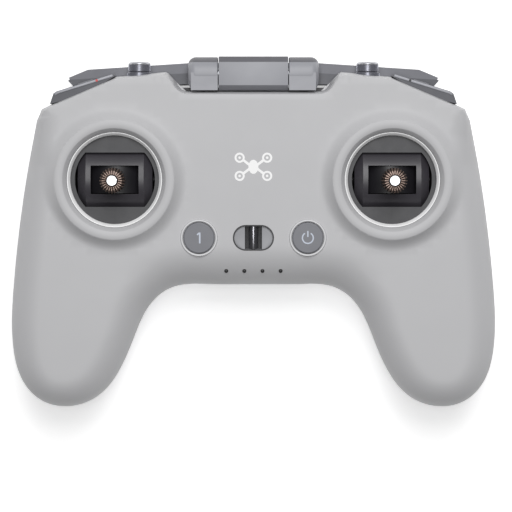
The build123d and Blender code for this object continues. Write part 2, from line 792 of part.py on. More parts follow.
for side, name in ((-1, "mode_switch"), (1, "option_switch")):
    pivot = (side * lever_x, lever_pivot_y, lever_z)
    with BuildPart() as lever:
        add(rod_y(lever_cap_radius, side * lever_x, lever_z, lever_pivot_y, lever_top_y))
        chamfer(lever.edges().filter_by(GeomType.CIRCLE).sort_by(Axis.Y)[-1], 0.7)
        with Locations(pivot):
            Sphere(lever_seat_radius + lever_gap, mode=Mode.SUBTRACT)
        add(rod_y(lever_stem_radius, side * lever_x, lever_z, lever_pivot_y, lever_top_y - 1))
        with Locations(pivot):
            Sphere(lever_ball_radius)
    save(lever.part, name)

with BuildPart() as switch_bodies:
    for side, _ in sides:
        with Locations((side * lever_x, lever_pivot_y - 2.7, lever_z)):
            Box(9.2, 10.6, 8.8)
        with Locations((side * lever_x, lever_pivot_y, lever_z)):
            Sphere(lever_ball_radius + lever_ball_gap, mode=Mode.SUBTRACT)
        reach = lever_pivot_y + 5
        body_bore = lever_stem_radius + 1.2
        add(rod_y(body_bore, side * lever_x, lever_z, lever_pivot_y, reach), mode=Mode.SUBTRACT)
save(switch_bodies.part, "switch_bodies")

# ---------------------------------------------------------------- shoulder ledges and buttons
with BuildPart() as plinth:
    with BuildSketch(Plane.XY.offset(plinth_low_z)):
        with BuildLine():
            Polyline(*plinth_outline, shoulder_middle - shoulder_out * 2, close=True)
        make_face()
    extrude(amount=plinth_high_z - plinth_low_z)
    add(front_outer, mode=Mode.SUBTRACT)
    add(ledge_rod(shoulder_bore, -8, 2), mode=Mode.SUBTRACT)

with BuildPart() as shoulder_button:
    add(ledge_rod(shoulder_button_radius, -2.2, 0.5))
    ledge_axis = Axis(ledge_plane.origin, ledge_plane.z_dir)
    chamfer(shoulder_button.edges().filter_by(GeomType.CIRCLE).group_by(ledge_axis)[-1], 0.3)
    add(ledge_rod(1.5, -shoulder_stem, -2.2))

with BuildPart() as shoulder_switch:
    top = -shoulder_stem - shoulder_button_travel - stem_gap
    add(ledge_rod(1.4, top - 1, top))
    add(ledge_plane * Pos(0, 0, top - 2) * Box(6, 6, 2.4, mode=Mode.PRIVATE))
    add(ledge_plane * Pos(0, 0, top - 3.8) * Box(9, 9, 1.2, mode=Mode.PRIVATE))

save(plinth.part, "right_shoulder_ledge")
save(mirror(plinth.part, about=Plane.YZ), "left_shoulder_ledge")
save(shoulder_button.part, "pause_button")
save(mirror(shoulder_button.part, about=Plane.YZ), "record_button")
save(Compound([shoulder_switch.part, mirror(shoulder_switch.part, about=Plane.YZ)]), "shoulder_switches")

# ---------------------------------------------------------------- folding antenna
for side, name in sides:
    with BuildPart() as lug:
        add(rod_x(lug_radius, hinge_y, hinge_z, side * lug_inner_x, side * lug_outer_x))
        inner_x, outer_x = side * lug_inner_x, side * lug_outer_x
        add(box_between(inner_x, outer_x, notch_floor_y, hinge_y, hinge_z - 5, hinge_z + 5))
        add(rod_x(pin_radius, hinge_y, hinge_z, -40, 40), mode=Mode.SUBTRACT)
    save(lug.part, f"{name}_hinge_lug")

with BuildPart() as hinge_pin:
    add(rod_x(pin_radius, hinge_y, hinge_z, -lug_outer_x + 0.5, lug_outer_x - 0.5))
save(hinge_pin.part, "hinge_pin")

knuckle_half = lug_inner_x - knuckle_gap
wing_top_z = hinge_z - wing_top_drop
tongue = (60.2, 62.8, 6.0, 15.0)
with BuildPart() as knuckle:
    add(rod_x(knuckle_radius, hinge_y, hinge_z, -knuckle_half, knuckle_half))
    add(box_between(-knuckle_half, knuckle_half, wing_inner_y, wing_outer_y, wing_bottom_z, hinge_z - 5))
    for side, _ in sides:
        add(box_between(side * knuckle_half, side * (knuckle_half + 5), *tongue))
    add(rod_x(pin_radius + running_clearance, hinge_y, hinge_z, -40, 40), mode=Mode.SUBTRACT)
save(knuckle.part, "antenna_knuckle")

seam_start = (knuckle_half, 63.1)
seam_end = (wing_tip_x - 0.7, 59.9)
wing_height = wing_top_z - wing_bottom_z
with BuildPart() as wing_housing:
    with BuildSketch(Plane.XY.offset(wing_bottom_z)):
        with BuildLine():
            Polyline(
                (knuckle_half, wing_inner_y),
                (wing_tip_x - 2.1, wing_inner_y - 1.0),
                (wing_tip_x, wing_inner_y + 1.2),
                seam_end,
                seam_start,
                close=True,
            )
        make_face()
    extrude(amount=wing_height)
    with BuildSketch(Plane.XY.offset(wing_bottom_z + wing_wall)):
        with BuildLine():
            Polyline(
                (knuckle_half + wing_wall, wing_inner_y + wing_wall),
                (wing_tip_x - 4.5, wing_inner_y + 0.4),
                (wing_tip_x - 4.5, seam_end[1] + 3),
                (knuckle_half + wing_wall, seam_start[1] + 3),
                close=True,
            )
        make_face()
    extrude(amount=wing_height - 2 * wing_wall, mode=Mode.SUBTRACT)
    add(box_between(knuckle_half - 1, knuckle_half + 5, *tongue), mode=Mode.SUBTRACT)

with BuildPart() as wing_cover:
    with BuildSketch(Plane.XY.offset(wing_bottom_z)):
        with BuildLine():
            Polyline(
                seam_start,
                seam_end,
                (wing_tip_x - 0.4, 60.7),
                (wing_tip_x - 7.9, 63.8),
                (24.5, wing_outer_y),
                (knuckle_half, wing_outer_y),
                close=True,
            )
        make_face()
    extrude(amount=wing_height)
    with BuildSketch(Plane.XY.offset(wing_bottom_z + wing_wall)):
        with BuildLine():
            Polyline(
                (knuckle_half + wing_wall, seam_start[1] - 3),
                (wing_tip_x - 12, seam_end[1] - 2),
                (wing_tip_x - 12, 62.5),
                (24.5, wing_outer_y - wing_wall),
                (knuckle_half + wing_wall, wing_outer_y - wing_wall),
                close=True,
            )
        make_face()
    extrude(amount=wing_height - 2 * wing_wall, mode=Mode.SUBTRACT)
    add(box_between(knuckle_half - 1, knuckle_half + 5, *tongue), mode=Mode.SUBTRACT)

antenna_board_y = wing_inner_y + wing_wall + 0.5
with BuildPart() as antenna_board:
    add(
        box_between(
            knuckle_half + 6.5,
            wing_tip_x - 14,
            antenna_board_y,
            antenna_board_y + 0.8,
            wing_bottom_z + wing_wall,
            wing_top_z - wing_wall,
        )
    )
for piece, name in (
    (wing_housing, "antenna_housing"),
    (wing_cover, "antenna_cover"),
):
    save(piece.part, f"right_{name}")
    save(mirror(piece.part, about=Plane.YZ), f"left_{name}")
save(Compound([antenna_board.part, mirror(antenna_board.part, about=Plane.YZ)]), "antenna_boards")

# ---------------------------------------------------------------- boards, battery and fasteners
board_half = gimbal_x - housing_outer - 1.9
with BuildPart() as main_board:
    with BuildSketch(Plane.XY.offset(board_z)):
        with Locations((0, 21)):
            RectangleRounded(2 * board_half, 52, 2)
        with Locations((0, -9.7)):
            Rectangle(44, 13.4)
        with Locations(*board_posts):
            Circle(small_screw_radius + 0.1, mode=Mode.SUBTRACT)
    extrude(amount=board_thickness)
save(main_board.part, "main_board")

with BuildPart() as shield_cans:
    with Locations((-14, 24, board_top_z), (13, 26, board_top_z)):
        Box(16, 14, 2.2, align=(Align.CENTER, Align.CENTER, Align.MIN))
save(shield_cans.part, "shield_cans")

with BuildPart() as board_connectors:
    with Locations(*[(x, y, board_top_z) for x, y in ((-16, 43), (16, 43), (-14, 10), (14, 10))]):
        Box(9, 4, 2.6, align=(Align.CENTER, Align.CENTER, Align.MIN))
save(board_connectors.part, "board_connectors")

with BuildPart() as buzzer:
    with Locations((0, 39, board_top_z)):
        Cylinder(5, 3.2, align=(Align.CENTER, Align.CENTER, Align.MIN))
        Cylinder(1.0, 4.0, align=(Align.CENTER, Align.CENTER, Align.MIN), mode=Mode.SUBTRACT)
save(buzzer.part, "buzzer")

cell_z = wall + 1.2 + cell_radius
cell_rows = (16.5, 36.5)
with BuildPart() as battery_cells:
    for y in cell_rows:
        add(rod_x(cell_radius, y, cell_z, -cell_length / 2, cell_length / 2))
        add(rod_x(3.0, y, cell_z, cell_length / 2, cell_length / 2 + 0.5))
save(battery_cells.part, "battery_cells")

cradle_half = cell_length / 2 + 2.0
with BuildPart() as battery_cradle:
    add(box_between(-cradle_half, cradle_half, cell_rows[0] - 10.2, cell_rows[1] + 10.2, wall, cell_z - 3))
    for end in (-1, 1):
        add(
            box_between(
                end * (cell_length / 2 + 0.8),
                end * cradle_half,
                cell_rows[0] - 10.2,
                cell_rows[1] + 10.2,
                wall,
                cell_z + 7,
            )
        )
    for y in cell_rows:
        reach = cell_length / 2 + 0.8
        add(rod_x(cell_radius + cell_clearance, y, cell_z, -reach, reach), mode=Mode.SUBTRACT)
save(battery_cradle.part, "battery_cradle")

port_front_y = bottom_y + 1.0
with BuildPart() as charge_board:
    low = port_z - port_height / 2
    add(box_between(-9, 9, bottom_y + 5.6, bottom_y + 15, low - board_thickness, low))
save(charge_board.part, "charge_board")

with BuildPart() as charge_port:
    with BuildSketch(Plane.XZ.offset(-port_front_y)):
        with Locations((0, port_z)):
            SlotOverall(port_width, port_height)
            SlotOverall(port_width - 2 * port_skin, port_height - 2 * port_skin, mode=Mode.SUBTRACT)
    extrude(amount=-port_length)
    with BuildSketch(Plane.XZ.offset(-port_front_y - port_length + 0.6)):
        with Locations((0, port_z)):
            SlotOverall(port_width - 2 * port_skin, port_height - 2 * port_skin)
    extrude(amount=-0.6)
    add(box_between(-3.3, 3.3, port_front_y + 1, port_front_y + port_length, port_z - 0.35, port_z + 0.35))
save(charge_port.part, "charge_port")

storage_z = port_z + 1
with BuildPart() as storage_sleeves:
    for side, _ in sides:
        start = bottom_y + 1.2
        add(rod_y(storage_bore + storage_wall, side * storage_x, storage_z, start, start + storage_depth))
        bore_end = start + storage_depth - 1
        add(rod_y(storage_bore, side * storage_x, storage_z, start - 1, bore_end), mode=Mode.SUBTRACT)
save(storage_sleeves.part, "storage_sleeves")

with BuildPart() as housing_screws:
    for x, y in all_posts:
        add(rod_z(screw_head_radius, x, y, screw_seat_z - screw_head_height, screw_seat_z))
        add(rod_z(screw_radius, x, y, screw_seat_z, parting_z + 8))
save(housing_screws.part, "housing_screws")

with BuildPart() as board_screws:
    for x, y in board_posts:
        add(rod_z(small_screw_head, x, y, board_z - 1.2, board_z))
        add(rod_z(small_screw_radius, x, y, board_z, board_z + small_screw_length))
save(board_screws.part, "board_screws")
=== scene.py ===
"""Looks of a hand-held radio transmitter: moulded shells, stick gimbals, buttons, switches and antenna.

Sizes are in millimetres in the classes and become metres when a mesh is made.
"""

import logging
import math
from collections.abc import Iterable, Sequence
from dataclasses import dataclass, field
from enum import Enum

import bmesh
import bpy
import numpy as np
from mathutils import Matrix, Vector
from mathutils.geometry import delaunay_2d_cdt


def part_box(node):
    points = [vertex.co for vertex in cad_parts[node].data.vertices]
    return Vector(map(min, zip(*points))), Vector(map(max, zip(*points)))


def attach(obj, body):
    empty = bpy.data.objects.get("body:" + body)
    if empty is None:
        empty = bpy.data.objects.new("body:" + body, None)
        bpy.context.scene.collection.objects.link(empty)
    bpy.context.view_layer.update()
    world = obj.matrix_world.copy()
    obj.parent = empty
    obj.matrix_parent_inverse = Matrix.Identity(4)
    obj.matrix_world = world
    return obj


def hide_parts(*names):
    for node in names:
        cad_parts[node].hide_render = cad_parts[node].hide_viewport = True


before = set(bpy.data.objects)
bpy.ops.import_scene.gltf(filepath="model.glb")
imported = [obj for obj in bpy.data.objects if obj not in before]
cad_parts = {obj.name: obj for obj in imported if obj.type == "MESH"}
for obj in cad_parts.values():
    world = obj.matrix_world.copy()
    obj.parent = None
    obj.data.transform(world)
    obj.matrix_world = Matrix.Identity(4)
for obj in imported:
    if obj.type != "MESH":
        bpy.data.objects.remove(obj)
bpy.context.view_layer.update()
MM = 0.001
LOG = logging.getLogger("transmitter")
Point = tuple[float, float]
Outline = Sequence[Point]


# ---------------------------------------------------------------- shader tools
def linear(red: float, green: float, blue: float) -> tuple[float, float, float, float]:
    """Turn a display colour into the linear colour a shader takes.

    Args:
        red: Display red, 0 to 255.
        green: Display green, 0 to 255.
        blue: Display blue, 0 to 255.

    Returns:
        Linear red, green, blue and full alpha.
    """
    parts = [c / 255 for c in (red, green, blue)]
    made = [c / 12.92 if c <= 0.04045 else ((c + 0.055) / 1.055) ** 2.4 for c in parts]
    return (made[0], made[1], made[2], 1.0)


class Value:
    """A shader socket that takes part in Python arithmetic."""

    def __init__(self, graph: "Graph", socket: bpy.types.NodeSocket) -> None:
        """Keep the socket and the graph it belongs to."""
        self.graph = graph
        self.socket = socket

    def _math(self, operation: str, first: object, second: object = 0.0) -> "Value":
        """Add one Math node and return its result."""
        return self.graph.add("ShaderNodeMath", {"operation": operation}, {0: first, 1: second})

    def __add__(self, other: object) -> "Value":
        """Sum."""
        return self._math("ADD", self, other)

    def __radd__(self, other: object) -> "Value":
        """Sum, the other way round."""
        return self._math("ADD", other, self)

    def __sub__(self, other: object) -> "Value":
        """Difference."""
        return self._math("SUBTRACT", self, other)

    def __rsub__(self, other: object) -> "Value":
        """Difference, the other way round."""
        return self._math("SUBTRACT", other, self)

    def __mul__(self, other: object) -> "Value":
        """Product."""
        return self._math("MULTIPLY", self, other)

    def __rmul__(self, other: object) -> "Value":
        """Product, the other way round."""
        return self._math("MULTIPLY", other, self)

    def __lt__(self, other: object) -> "Value":
        """One where this is the smaller, otherwise nought."""
        return self._math("LESS_THAN", self, other)

    def __gt__(self, other: object) -> "Value":
        """One where this is the larger, otherwise nought."""
        return self._math("GREATER_THAN", self, other)

    def __abs__(self) -> "Value":
        """Size without sign."""
        return self._math("ABSOLUTE", self)


class Graph:
    """Node tree of one material."""

    def __init__(self, name: str) -> None:
        """Make an empty node material of that name."""
        self.material = bpy.data.materials.new(name)
        self.material.use_nodes = True
        self.tree = self.material.node_tree
        self.tree.nodes.clear()

    def add(
        self, kind: str, settings: dict | None = None, inputs: dict | None = None, output: int | str = 0
    ) -> Value:
        """Add any node.

        Args:
            kind: The node's type name.
            settings: Node properties, set before its sockets.
            inputs: Socket name or number to a number, a colour or a Value to link.
            output: Which output to hand back.

        Returns:
            The chosen output.
        """
        node = self.tree.nodes.new(kind)
        for name, value in (settings or {}).items():
            setattr(node, name, value)
        for name, value in (inputs or {}).items():
            if isinstance(value, Value):
                self.tree.links.new(value.socket, node.inputs[name])
            else:
                node.inputs[name].default_value = value
        return Value(self, node.outputs[output])

    def place(self) -> Value:
        """Point on the object, in metres."""
        return self.add("ShaderNodeTexCoord", output="Object")

    def noise(
        self, point: Value, size: float, detail: float = 2.0, stretch: Sequence[float] = (1, 1, 1)
    ) -> Value:
        """Smooth noise from 0 to 1.

        Args:
            point: Where to read it.
            size: Size of its patches, in millimetres.
            detail: How many finer layers it has.
            stretch: How much finer it is along X, Y and Z.

        Returns:
            The noise.
        """
        scaled = self.add("ShaderNodeMapping", None, {"Vector": point, "Scale": tuple(stretch)})
        return self.add(
            "ShaderNodeTexNoise", None, {"Vector": scaled, "Scale": 1 / (size * MM), "Detail": detail}
        )

    def blend(self, share: Value, first: object, second: object) -> Value:
        """Mix two colours by a share."""
        return self.add(
            "ShaderNodeMix", {"data_type": "RGBA"}, {0: share, 6: first, 7: second}, output=2
        )

    def parts(self, point: Value) -> tuple[Value, Value, Value]:
        """Split a vector into its three numbers."""
        split = self.add("ShaderNodeSeparateXYZ", None, {0: point})
        outputs = split.socket.node.outputs
        return Value(self, outputs[0]), Value(self, outputs[1]), Value(self, outputs[2])


# ---------------------------------------------------------------- finishes
@dataclass(frozen=True)
class Finish:
    """A surface: its colour, how it drifts, its gloss and its fine grain."""

    name: str
    colour: tuple[float, float, float]
    roughness: float = 0.5
    metallic: float = 0.0
    coat: float = 0.0
    drift: float = 0.05
    drift_size: float = 14.0
    grain: float = 0.006
    grain_size: float = 0.35
    stretch: tuple[float, float, float] = (1.0, 1.0, 1.0)

    def tint(self, graph: Graph, point: Value) -> Value:
        """Colour over the surface."""
        patches = graph.noise(point, self.drift_size, 3.0, self.stretch)
        darker = tuple(c * (1 - self.drift) for c in self.colour)
        lighter = tuple(min(255.0, c * (1 + self.drift)) for c in self.colour)
        return graph.blend(patches, linear(*darker), linear(*lighter))

    def relief(self, graph: Graph, point: Value) -> Value:
        """Height of the fine grain, from 0 to 1."""
        return graph.noise(point, self.grain_size, 3.0, self.stretch)

    def build(self) -> bpy.types.Material:
        """Make the material.

        Returns:
            The finished node material.
        """
        graph = Graph(self.name)
        point = graph.place()
        relief = self.relief(graph, point)
        gloss = self.roughness + (graph.noise(point, self.drift_size / 3, 2.0, self.stretch) - 0.5) * 0.12
        bump = graph.add(
            "ShaderNodeBump", None, {"Strength": 0.6, "Distance": self.grain * MM, "Height": relief}
        )
        shader = graph.add(
            "ShaderNodeBsdfPrincipled",
            None,
            {
                "Base Color": self.tint(graph, point),
                "Roughness": gloss,
                "Metallic": self.metallic,
                "Coat Weight": self.coat,
                "Normal": bump,
            },
        )
        output = graph.tree.nodes.new("ShaderNodeOutputMaterial")
        graph.tree.links.new(shader.socket, output.inputs["Surface"])
        return graph.material


@dataclass(frozen=True)
class CrossLined(Finish):
    """Dark moulding with fine centre lines through each stick."""

    centre_x: float = 53.5
    centre_y: float = 21.0
    line_width: float = 0.28
    line_colour: tuple[float, float, float] = (58, 58, 61)
    across: bool = False

    def tint(self, graph: Graph, point: Value) -> Value:
        """Plain colour with a thin line up and down, or across."""
        base = super().tint(graph, point)
        x, y, _ = graph.parts(point)
        offset = abs(y - self.centre_y * MM) if self.across else abs(abs(x) - self.centre_x * MM)
        line = offset < self.line_width / 2 * MM
        return graph.blend(line, base, linear(*self.line_colour))


@dataclass(frozen=True)
class ShadeBanded(Finish):
    """Moulding whose far edge is a darker band: painted shade where that edge faces away from the light."""

    # Where the painted shade band starts, and its colour.
    shade_from_y: float = 66.3
    shade_colour: tuple[float, float, float] = (104, 104, 109)

    def tint(self, graph: Graph, point: Value) -> Value:
        """Plain colour, and the painted shade colour past the edge."""
        _, y, _ = graph.parts(point)
        return graph.blend(y > self.shade_from_y * MM, super().tint(graph, point), linear(*self.shade_colour))


@dataclass(frozen=True)
class Tracks(Finish):
    """Circuit board: solder mask over fine copper tracks."""

    track_colour: tuple[float, float, float] = (66, 122, 70)

    def tint(self, graph: Graph, point: Value) -> Value:
        """Mask colour with lighter tracks in cells."""
        cells = graph.add(
            "ShaderNodeTexVoronoi",
            {"feature": "DISTANCE_TO_EDGE"},
            {"Vector": point, "Scale": 1 / (3.1 * MM)},
        )
        return graph.blend(cells < 0.06, linear(*self.colour), linear(*self.track_colour))


@dataclass(frozen=True)
class Wrapped(Finish):
    """Battery sleeve with a pale band round each end."""

    band_x: float = 30.5
    band_colour: tuple[float, float, float] = (196, 198, 202)

    def tint(self, graph: Graph, point: Value) -> Value:
        """Sleeve colour, and the band beyond band_x."""
        x, _, _ = graph.parts(point)
        return graph.blend(abs(x) > self.band_x * MM, super().tint(graph, point), linear(*self.band_colour))


class Look(Enum):
    """Every finish on the transmitter."""

    SHELL = Finish(
        "moulded_grey", (196, 196, 198), 0.56, drift=0.008, drift_size=30, grain=0.010, grain_size=0.30
    )
    # Shell moulding painted lighter for the button surrounds: painted highlight.
    SURROUND_HIGHLIGHT = Finish("surround_painted_highlight", (226, 226, 228), 0.42, drift=0.01, grain=0.004)
    BAR = Finish("crossbar_metal", (120, 120, 124), 0.25, 0.8, drift=0.03, grain=0.003, stretch=(1, 3, 1))
    TRIM = Finish("pale_trim", (252, 252, 253), 0.3, drift=0.01, grain=0.003)
    GIMBAL_PLATE = CrossLined("gimbal_black", (60, 60, 63), 0.48, drift=0.03, grain=0.008)
    DRUM = CrossLined("drum_black", (62, 60, 65), 0.4, drift=0.03, grain=0.006, across=True)
    INNER_DRUM = Finish("inner_drum_black", (30, 29, 33), 0.4, drift=0.03, grain=0.006)
    GRAPHITE = Finish("graphite_moulding", (106, 107, 114), 0.46, drift=0.03, grain=0.010)
    GRAPHITE_DARK = Finish("graphite_dark", (84, 85, 91), 0.5, drift=0.03, grain=0.008)
    # Hinge grey with a darker band of painted shade along the far edge of the lugs and knuckle.
    LUG = ShadeBanded("hinge_grey", (156, 157, 163), 0.44, drift=0.02, grain=0.008)
    RIM = Finish("satin_rim", (142, 143, 149), 0.42, 0.2, drift=0.02, grain=0.004, stretch=(0.2, 3, 3))
    KNOB = Finish("knob_satin", (132, 133, 142), 0.34, 0.55, drift=0.03, grain=0.004, stretch=(3, 0.3, 3))
    KNOB_CAP = Finish("knob_cap", (190, 191, 196), 0.28, 0.45, drift=0.02, grain=0.003)
    CROWN = Finish("crown_bronze", (58, 44, 40), 0.4, 0.6, drift=0.05, grain=0.004, stretch=(2, 2, 0.3))
    # The crown's bronze painted lighter for its ribs: painted highlight.
    CROWN_RIB_HIGHLIGHT = Finish("crown_rib_painted_highlight", (116, 100, 92), 0.34, 0.7, drift=0.05, grain=0.003)
    CAP = Finish("polished_cap", (240, 240, 242), 0.22, 0.2, drift=0.01, grain=0.002)
    STEEL = Finish("turned_steel", (168, 170, 174), 0.28, 1.0, drift=0.03, grain=0.004, stretch=(3, 0.3, 3))
    SCREW = Finish("blackened_screw", (58, 58, 60), 0.38, 0.9, drift=0.05, grain=0.004)
    KEY = Finish("key_grey", (122, 123, 129), 0.48, drift=0.015, grain=0.008)
    CUP = Finish("cup_grey", (152, 153, 157), 0.44, drift=0.02, grain=0.006)
    # Near-black: the pause dot's colour, and painted shade in the lanyard recess and the hinge notches.
    DARK_MARK_AND_SHADE = Finish("dark_mark_and_painted_shade", (44, 44, 47), 0.5, drift=0.03, grain=0.006)
    INK = Finish("white_ink", (250, 250, 250), 0.42, drift=0.004, grain=0.002)
    KEY_INK = Finish("pale_blue_ink", (196, 204, 218), 0.42, drift=0.01, grain=0.002)
    RED_INK = Finish("red_ink", (196, 44, 40), 0.4, drift=0.02, grain=0.002)
    LENS = Finish("smoked_lens", (16, 16, 18), 0.45, drift=0.02, grain=0.001)
    BOARD = Tracks("circuit_board", (24, 84, 44), 0.42, grain=0.010)
    BLACK = Finish("black_moulding", (34, 34, 36), 0.5, drift=0.05, grain=0.010)
    CELL = Wrapped("cell_sleeve", (44, 92, 148), 0.3, coat=0.3, drift=0.03, grain=0.003)
    CAN = Finish("tinned_can", (188, 190, 192), 0.3, 0.9, drift=0.03, grain=0.006)


_made: dict[Look, bpy.types.Material] = {}


def material(look: Look) -> bpy.types.Material:
    """Return the material of a look, made once."""
    if look not in _made:
        _made[look] = look.value.build()
    return _made[look]


# ---------------------------------------------------------------- mesh tools
@dataclass
class Solid:
    """Mesh under construction, in millimetres."""

    points: list = field(default_factory=list)
    faces: list = field(default_factory=list)

    def plus(self, other: "Solid") -> "Solid":
        """Return both meshes as one."""
        shift = len(self.points)
        return Solid(
            self.points + other.points, self.faces + [tuple(i + shift for i in face) for face in other.faces]
        )

    def placed(self, matrix: Matrix) -> "Solid":
        """Return the mesh moved by a matrix in millimetres."""
        return Solid([tuple(matrix @ Vector(p)) for p in self.points], list(self.faces))

    def mirrored(self, side: int) -> "Solid":
        """Return the mesh on the left if side is negative."""
        return Solid([(side * x, y, z) for x, y, z in self.points], list(self.faces))

    def mesh(self, name: str) -> bpy.types.Mesh:
        """Return a Blender mesh in metres, merged and facing outwards."""
        mesh = bpy.data.meshes.new(name)
        mesh.from_pydata([tuple(c * MM for c in p) for p in self.points], [], self.faces)
        work = bmesh.new()
        work.from_mesh(mesh)
        bmesh.ops.remove_doubles(work, verts=work.verts, dist=1e-6)
        bmesh.ops.recalc_face_normals(work, faces=work.faces)
        work.to_mesh(mesh)
        work.free()
        return mesh


def axis_y(x: float, y: float, z: float) -> Matrix:
    """Placing that lays a shape's own Z along Y at a point."""
    return Matrix.Translation((x, y, z)) @ Matrix.Rotation(math.radians(-90), 4, "X")


def axis_x(x: float, y: float, z: float, turn: float = 90.0) -> Matrix:
    """Placing that lays a shape's own Z along X at a point."""
    return Matrix.Translation((x, y, z)) @ Matrix.Rotation(math.radians(turn), 4, "Y")


def rounded(corners: Outline, radius: float, steps: int = 3) -> list[Point]:
    """Round the corners of a closed polygon.

    Args:
        corners: The polygon's corners in order.
        radius: How far from each corner the rounding starts.
        steps: Straight pieces in each rounding.

    Returns:
        The rounded polygon.
    """
    made = []
    count = len(corners)
    for i, corner in enumerate(corners):
        here = Vector(corner)
        before = Vector(corners[i - 1]) - here
        after = Vector(corners[(i + 1) % count]) - here
        reach = min(radius, before.length * 0.45, after.length * 0.45)
        if here.x < 1e-6 or reach < 1e-6:
            made.append(tuple(here))
            continue
        start = here + before.normalized() * reach
        end = here + after.normalized() * reach
        for step in range(steps + 1):
            t = step / steps
            made.append(tuple(start * (1 - t) ** 2 + here * 2 * t * (1 - t) + end * t**2))
    return made


def lathe(profile: Outline, segments: int = 96) -> Solid:
    """Turn a closed profile about Z.

    Args:
        profile: Radius and height of each corner; corners at radius 0 close on the axis.
        segments: Steps round the turn.

    Returns:
        The turned solid.
    """
    solid = Solid()
    rings = []
    for radius, height in profile:
        start = len(solid.points)
        if radius < 1e-6:
            solid.points.append((0.0, 0.0, height))
            rings.append([start] * segments)
            continue
        for i in range(segments):
            angle = 2 * math.pi * i / segments
            solid.points.append((radius * math.cos(angle), radius * math.sin(angle), height))
        rings.append(list(range(start, start + segments)))
    for i, ring in enumerate(rings):
        above = rings[(i + 1) % len(rings)]
        for k in range(segments):
            n = (k + 1) % segments
            corner = list(dict.fromkeys((ring[k], ring[n], above[n], above[k])))
            if len(corner) > 2:
                solid.faces.append(tuple(corner))
    return solid


def triangles(loops: Sequence[Outline], extra: Outline = ()) -> tuple:
    """Fill the area inside the first loop and outside the others.

    Args:
        loops: Outline, then holes and crease loops; a crease loop repeats its first point at the end.
        extra: Loose points that the fill passes through.

    Returns:
        The points and the triangles.
    """
    flat = []
    edges = []
    for loop in loops:
        start = len(flat)
        flat.extend(Vector(p) for p in loop)
        edges.extend((start + i, start + (i + 1) % len(loop)) for i in range(len(loop)))
    flat.extend(Vector(p) for p in extra)
    points, _, faces, *_ = delaunay_2d_cdt(flat, edges, [], 0, 1e-5)
    return np.array([tuple(p) for p in points]), [tuple(f) for f in faces]


def inside(points: np.ndarray, loop: np.ndarray) -> np.ndarray:
    """Tell which points lie inside a closed loop.

    Args:
        points: Points to test, one row each.
        loop: Corners of the loop, one row each.

    Returns:
        True for each point inside.
    """
    held = np.zeros(len(points), bool)
    ahead = np.roll(loop, -1, axis=0)
    for (x0, y0), (x1, y1) in zip(loop[:, :2], ahead[:, :2]):
        if y0 == y1:
            continue
        crosses = (y0 > points[:, 1]) != (y1 > points[:, 1])
        reach = (x1 - x0) * (points[:, 1] - y0) / (y1 - y0) + x0
        held ^= crosses & (points[:, 0] < reach)
    return held


def prism(loops: Sequence[Outline], low: float, high: float) -> Solid:
    """Extrude a flat outline with holes.

    Args:
        loops: Outline, then its holes.
        low: Height of the under side.
        high: Height of the top.

    Returns:
        The closed solid.
    """
    points, faces = triangles(loops)
    middles = np.array([points[list(f)].mean(axis=0) for f in faces])
    keep = inside(middles, np.array(loops[0]))
    for hole in loops[1:]:
        keep &= ~inside(middles, np.array(hole))
    solid = Solid()
    solid.points = [(x, y, high) for x, y in points] + [(x, y, low) for x, y in points]
    shift = len(points)
    edges = {}
    for face, kept in zip(faces, keep):
        if not kept:
            continue
        solid.faces.append(face)
        solid.faces.append(tuple(i + shift for i in reversed(face)))
        for a, b in zip(face, face[1:] + face[:1]):
            edges[(a, b)] = True
    for a, b in edges:
        if (b, a) not in edges:
            solid.faces.append((b, a, a + shift, b + shift))
    return solid


def circle(x: float, y: float, radius: float, count: int) -> list[Point]:
    """Points round a circle."""
    turns = (2 * math.pi * i / count for i in range(count))
    return [(x + radius * math.cos(a), y + radius * math.sin(a)) for a in turns]


def stadium(x: float, y: float, length: float, width: float, count: int = 20) -> list[Point]:
    """Outline of a slot with round ends along X."""
    radius = width / 2
    reach = length / 2 - radius
    made = []
    for side in (1, -1):
        for i in range(count + 1):
            angle = math.pi * (i / count - 0.5) + (0 if side > 0 else math.pi)
            made.append((x + side * reach + radius * math.cos(angle), y + radius * math.sin(angle)))
    return made


def strip(centre: tuple[float, float], radius: float, width: float, start: float, end: float) -> list:
    """Outline of a curved bar, between two angles in degrees."""
    turns = [math.radians(start + (end - start) * i / 40) for i in range(41)]
    outer = [
        (centre[0] + (radius + width / 2) * math.cos(a), centre[1] + (radius + width / 2) * math.sin(a))
        for a in turns
    ]
    inner = [
        (centre[0] + (radius - width / 2) * math.cos(a), centre[1] + (radius - width / 2) * math.sin(a))
        for a in turns
    ]
    return outer + inner[::-1]


def bar(start: tuple[float, float], end: tuple[float, float], width: float) -> list[Point]:
    """Outline of a straight bar between two points."""
    along = (Vector(end) - Vector(start)).normalized()
    side = Vector((-along.y, along.x)) * width / 2
    corners = (Vector(start) + side, Vector(start) - side, Vector(end) - side, Vector(end) + side)
    return [tuple(c) for c in corners]


def plain(source: bpy.types.Object) -> bpy.types.Mesh:
    """Bake an object's modifiers into a new mesh and drop them."""
    graph = bpy.context.evaluated_depsgraph_get()
    graph.update()
    mesh = bpy.data.meshes.new_from_object(source.evaluated_get(graph))
    source.modifiers.clear()
    source.data = mesh
    return mesh


def add_object(name: str, mesh: bpy.types.Mesh) -> bpy.types.Object:
    """Put a mesh in the scene."""
    made = bpy.data.objects.new(name, mesh)
    bpy.context.scene.collection.objects.link(made)
    return made


@dataclass
class Filing:
    """Where a piece belongs: its name, its body, its record slot and the nodes it stands for."""

    name: str
    body: str
    slot: str
    nodes: tuple[str, ...] = ()


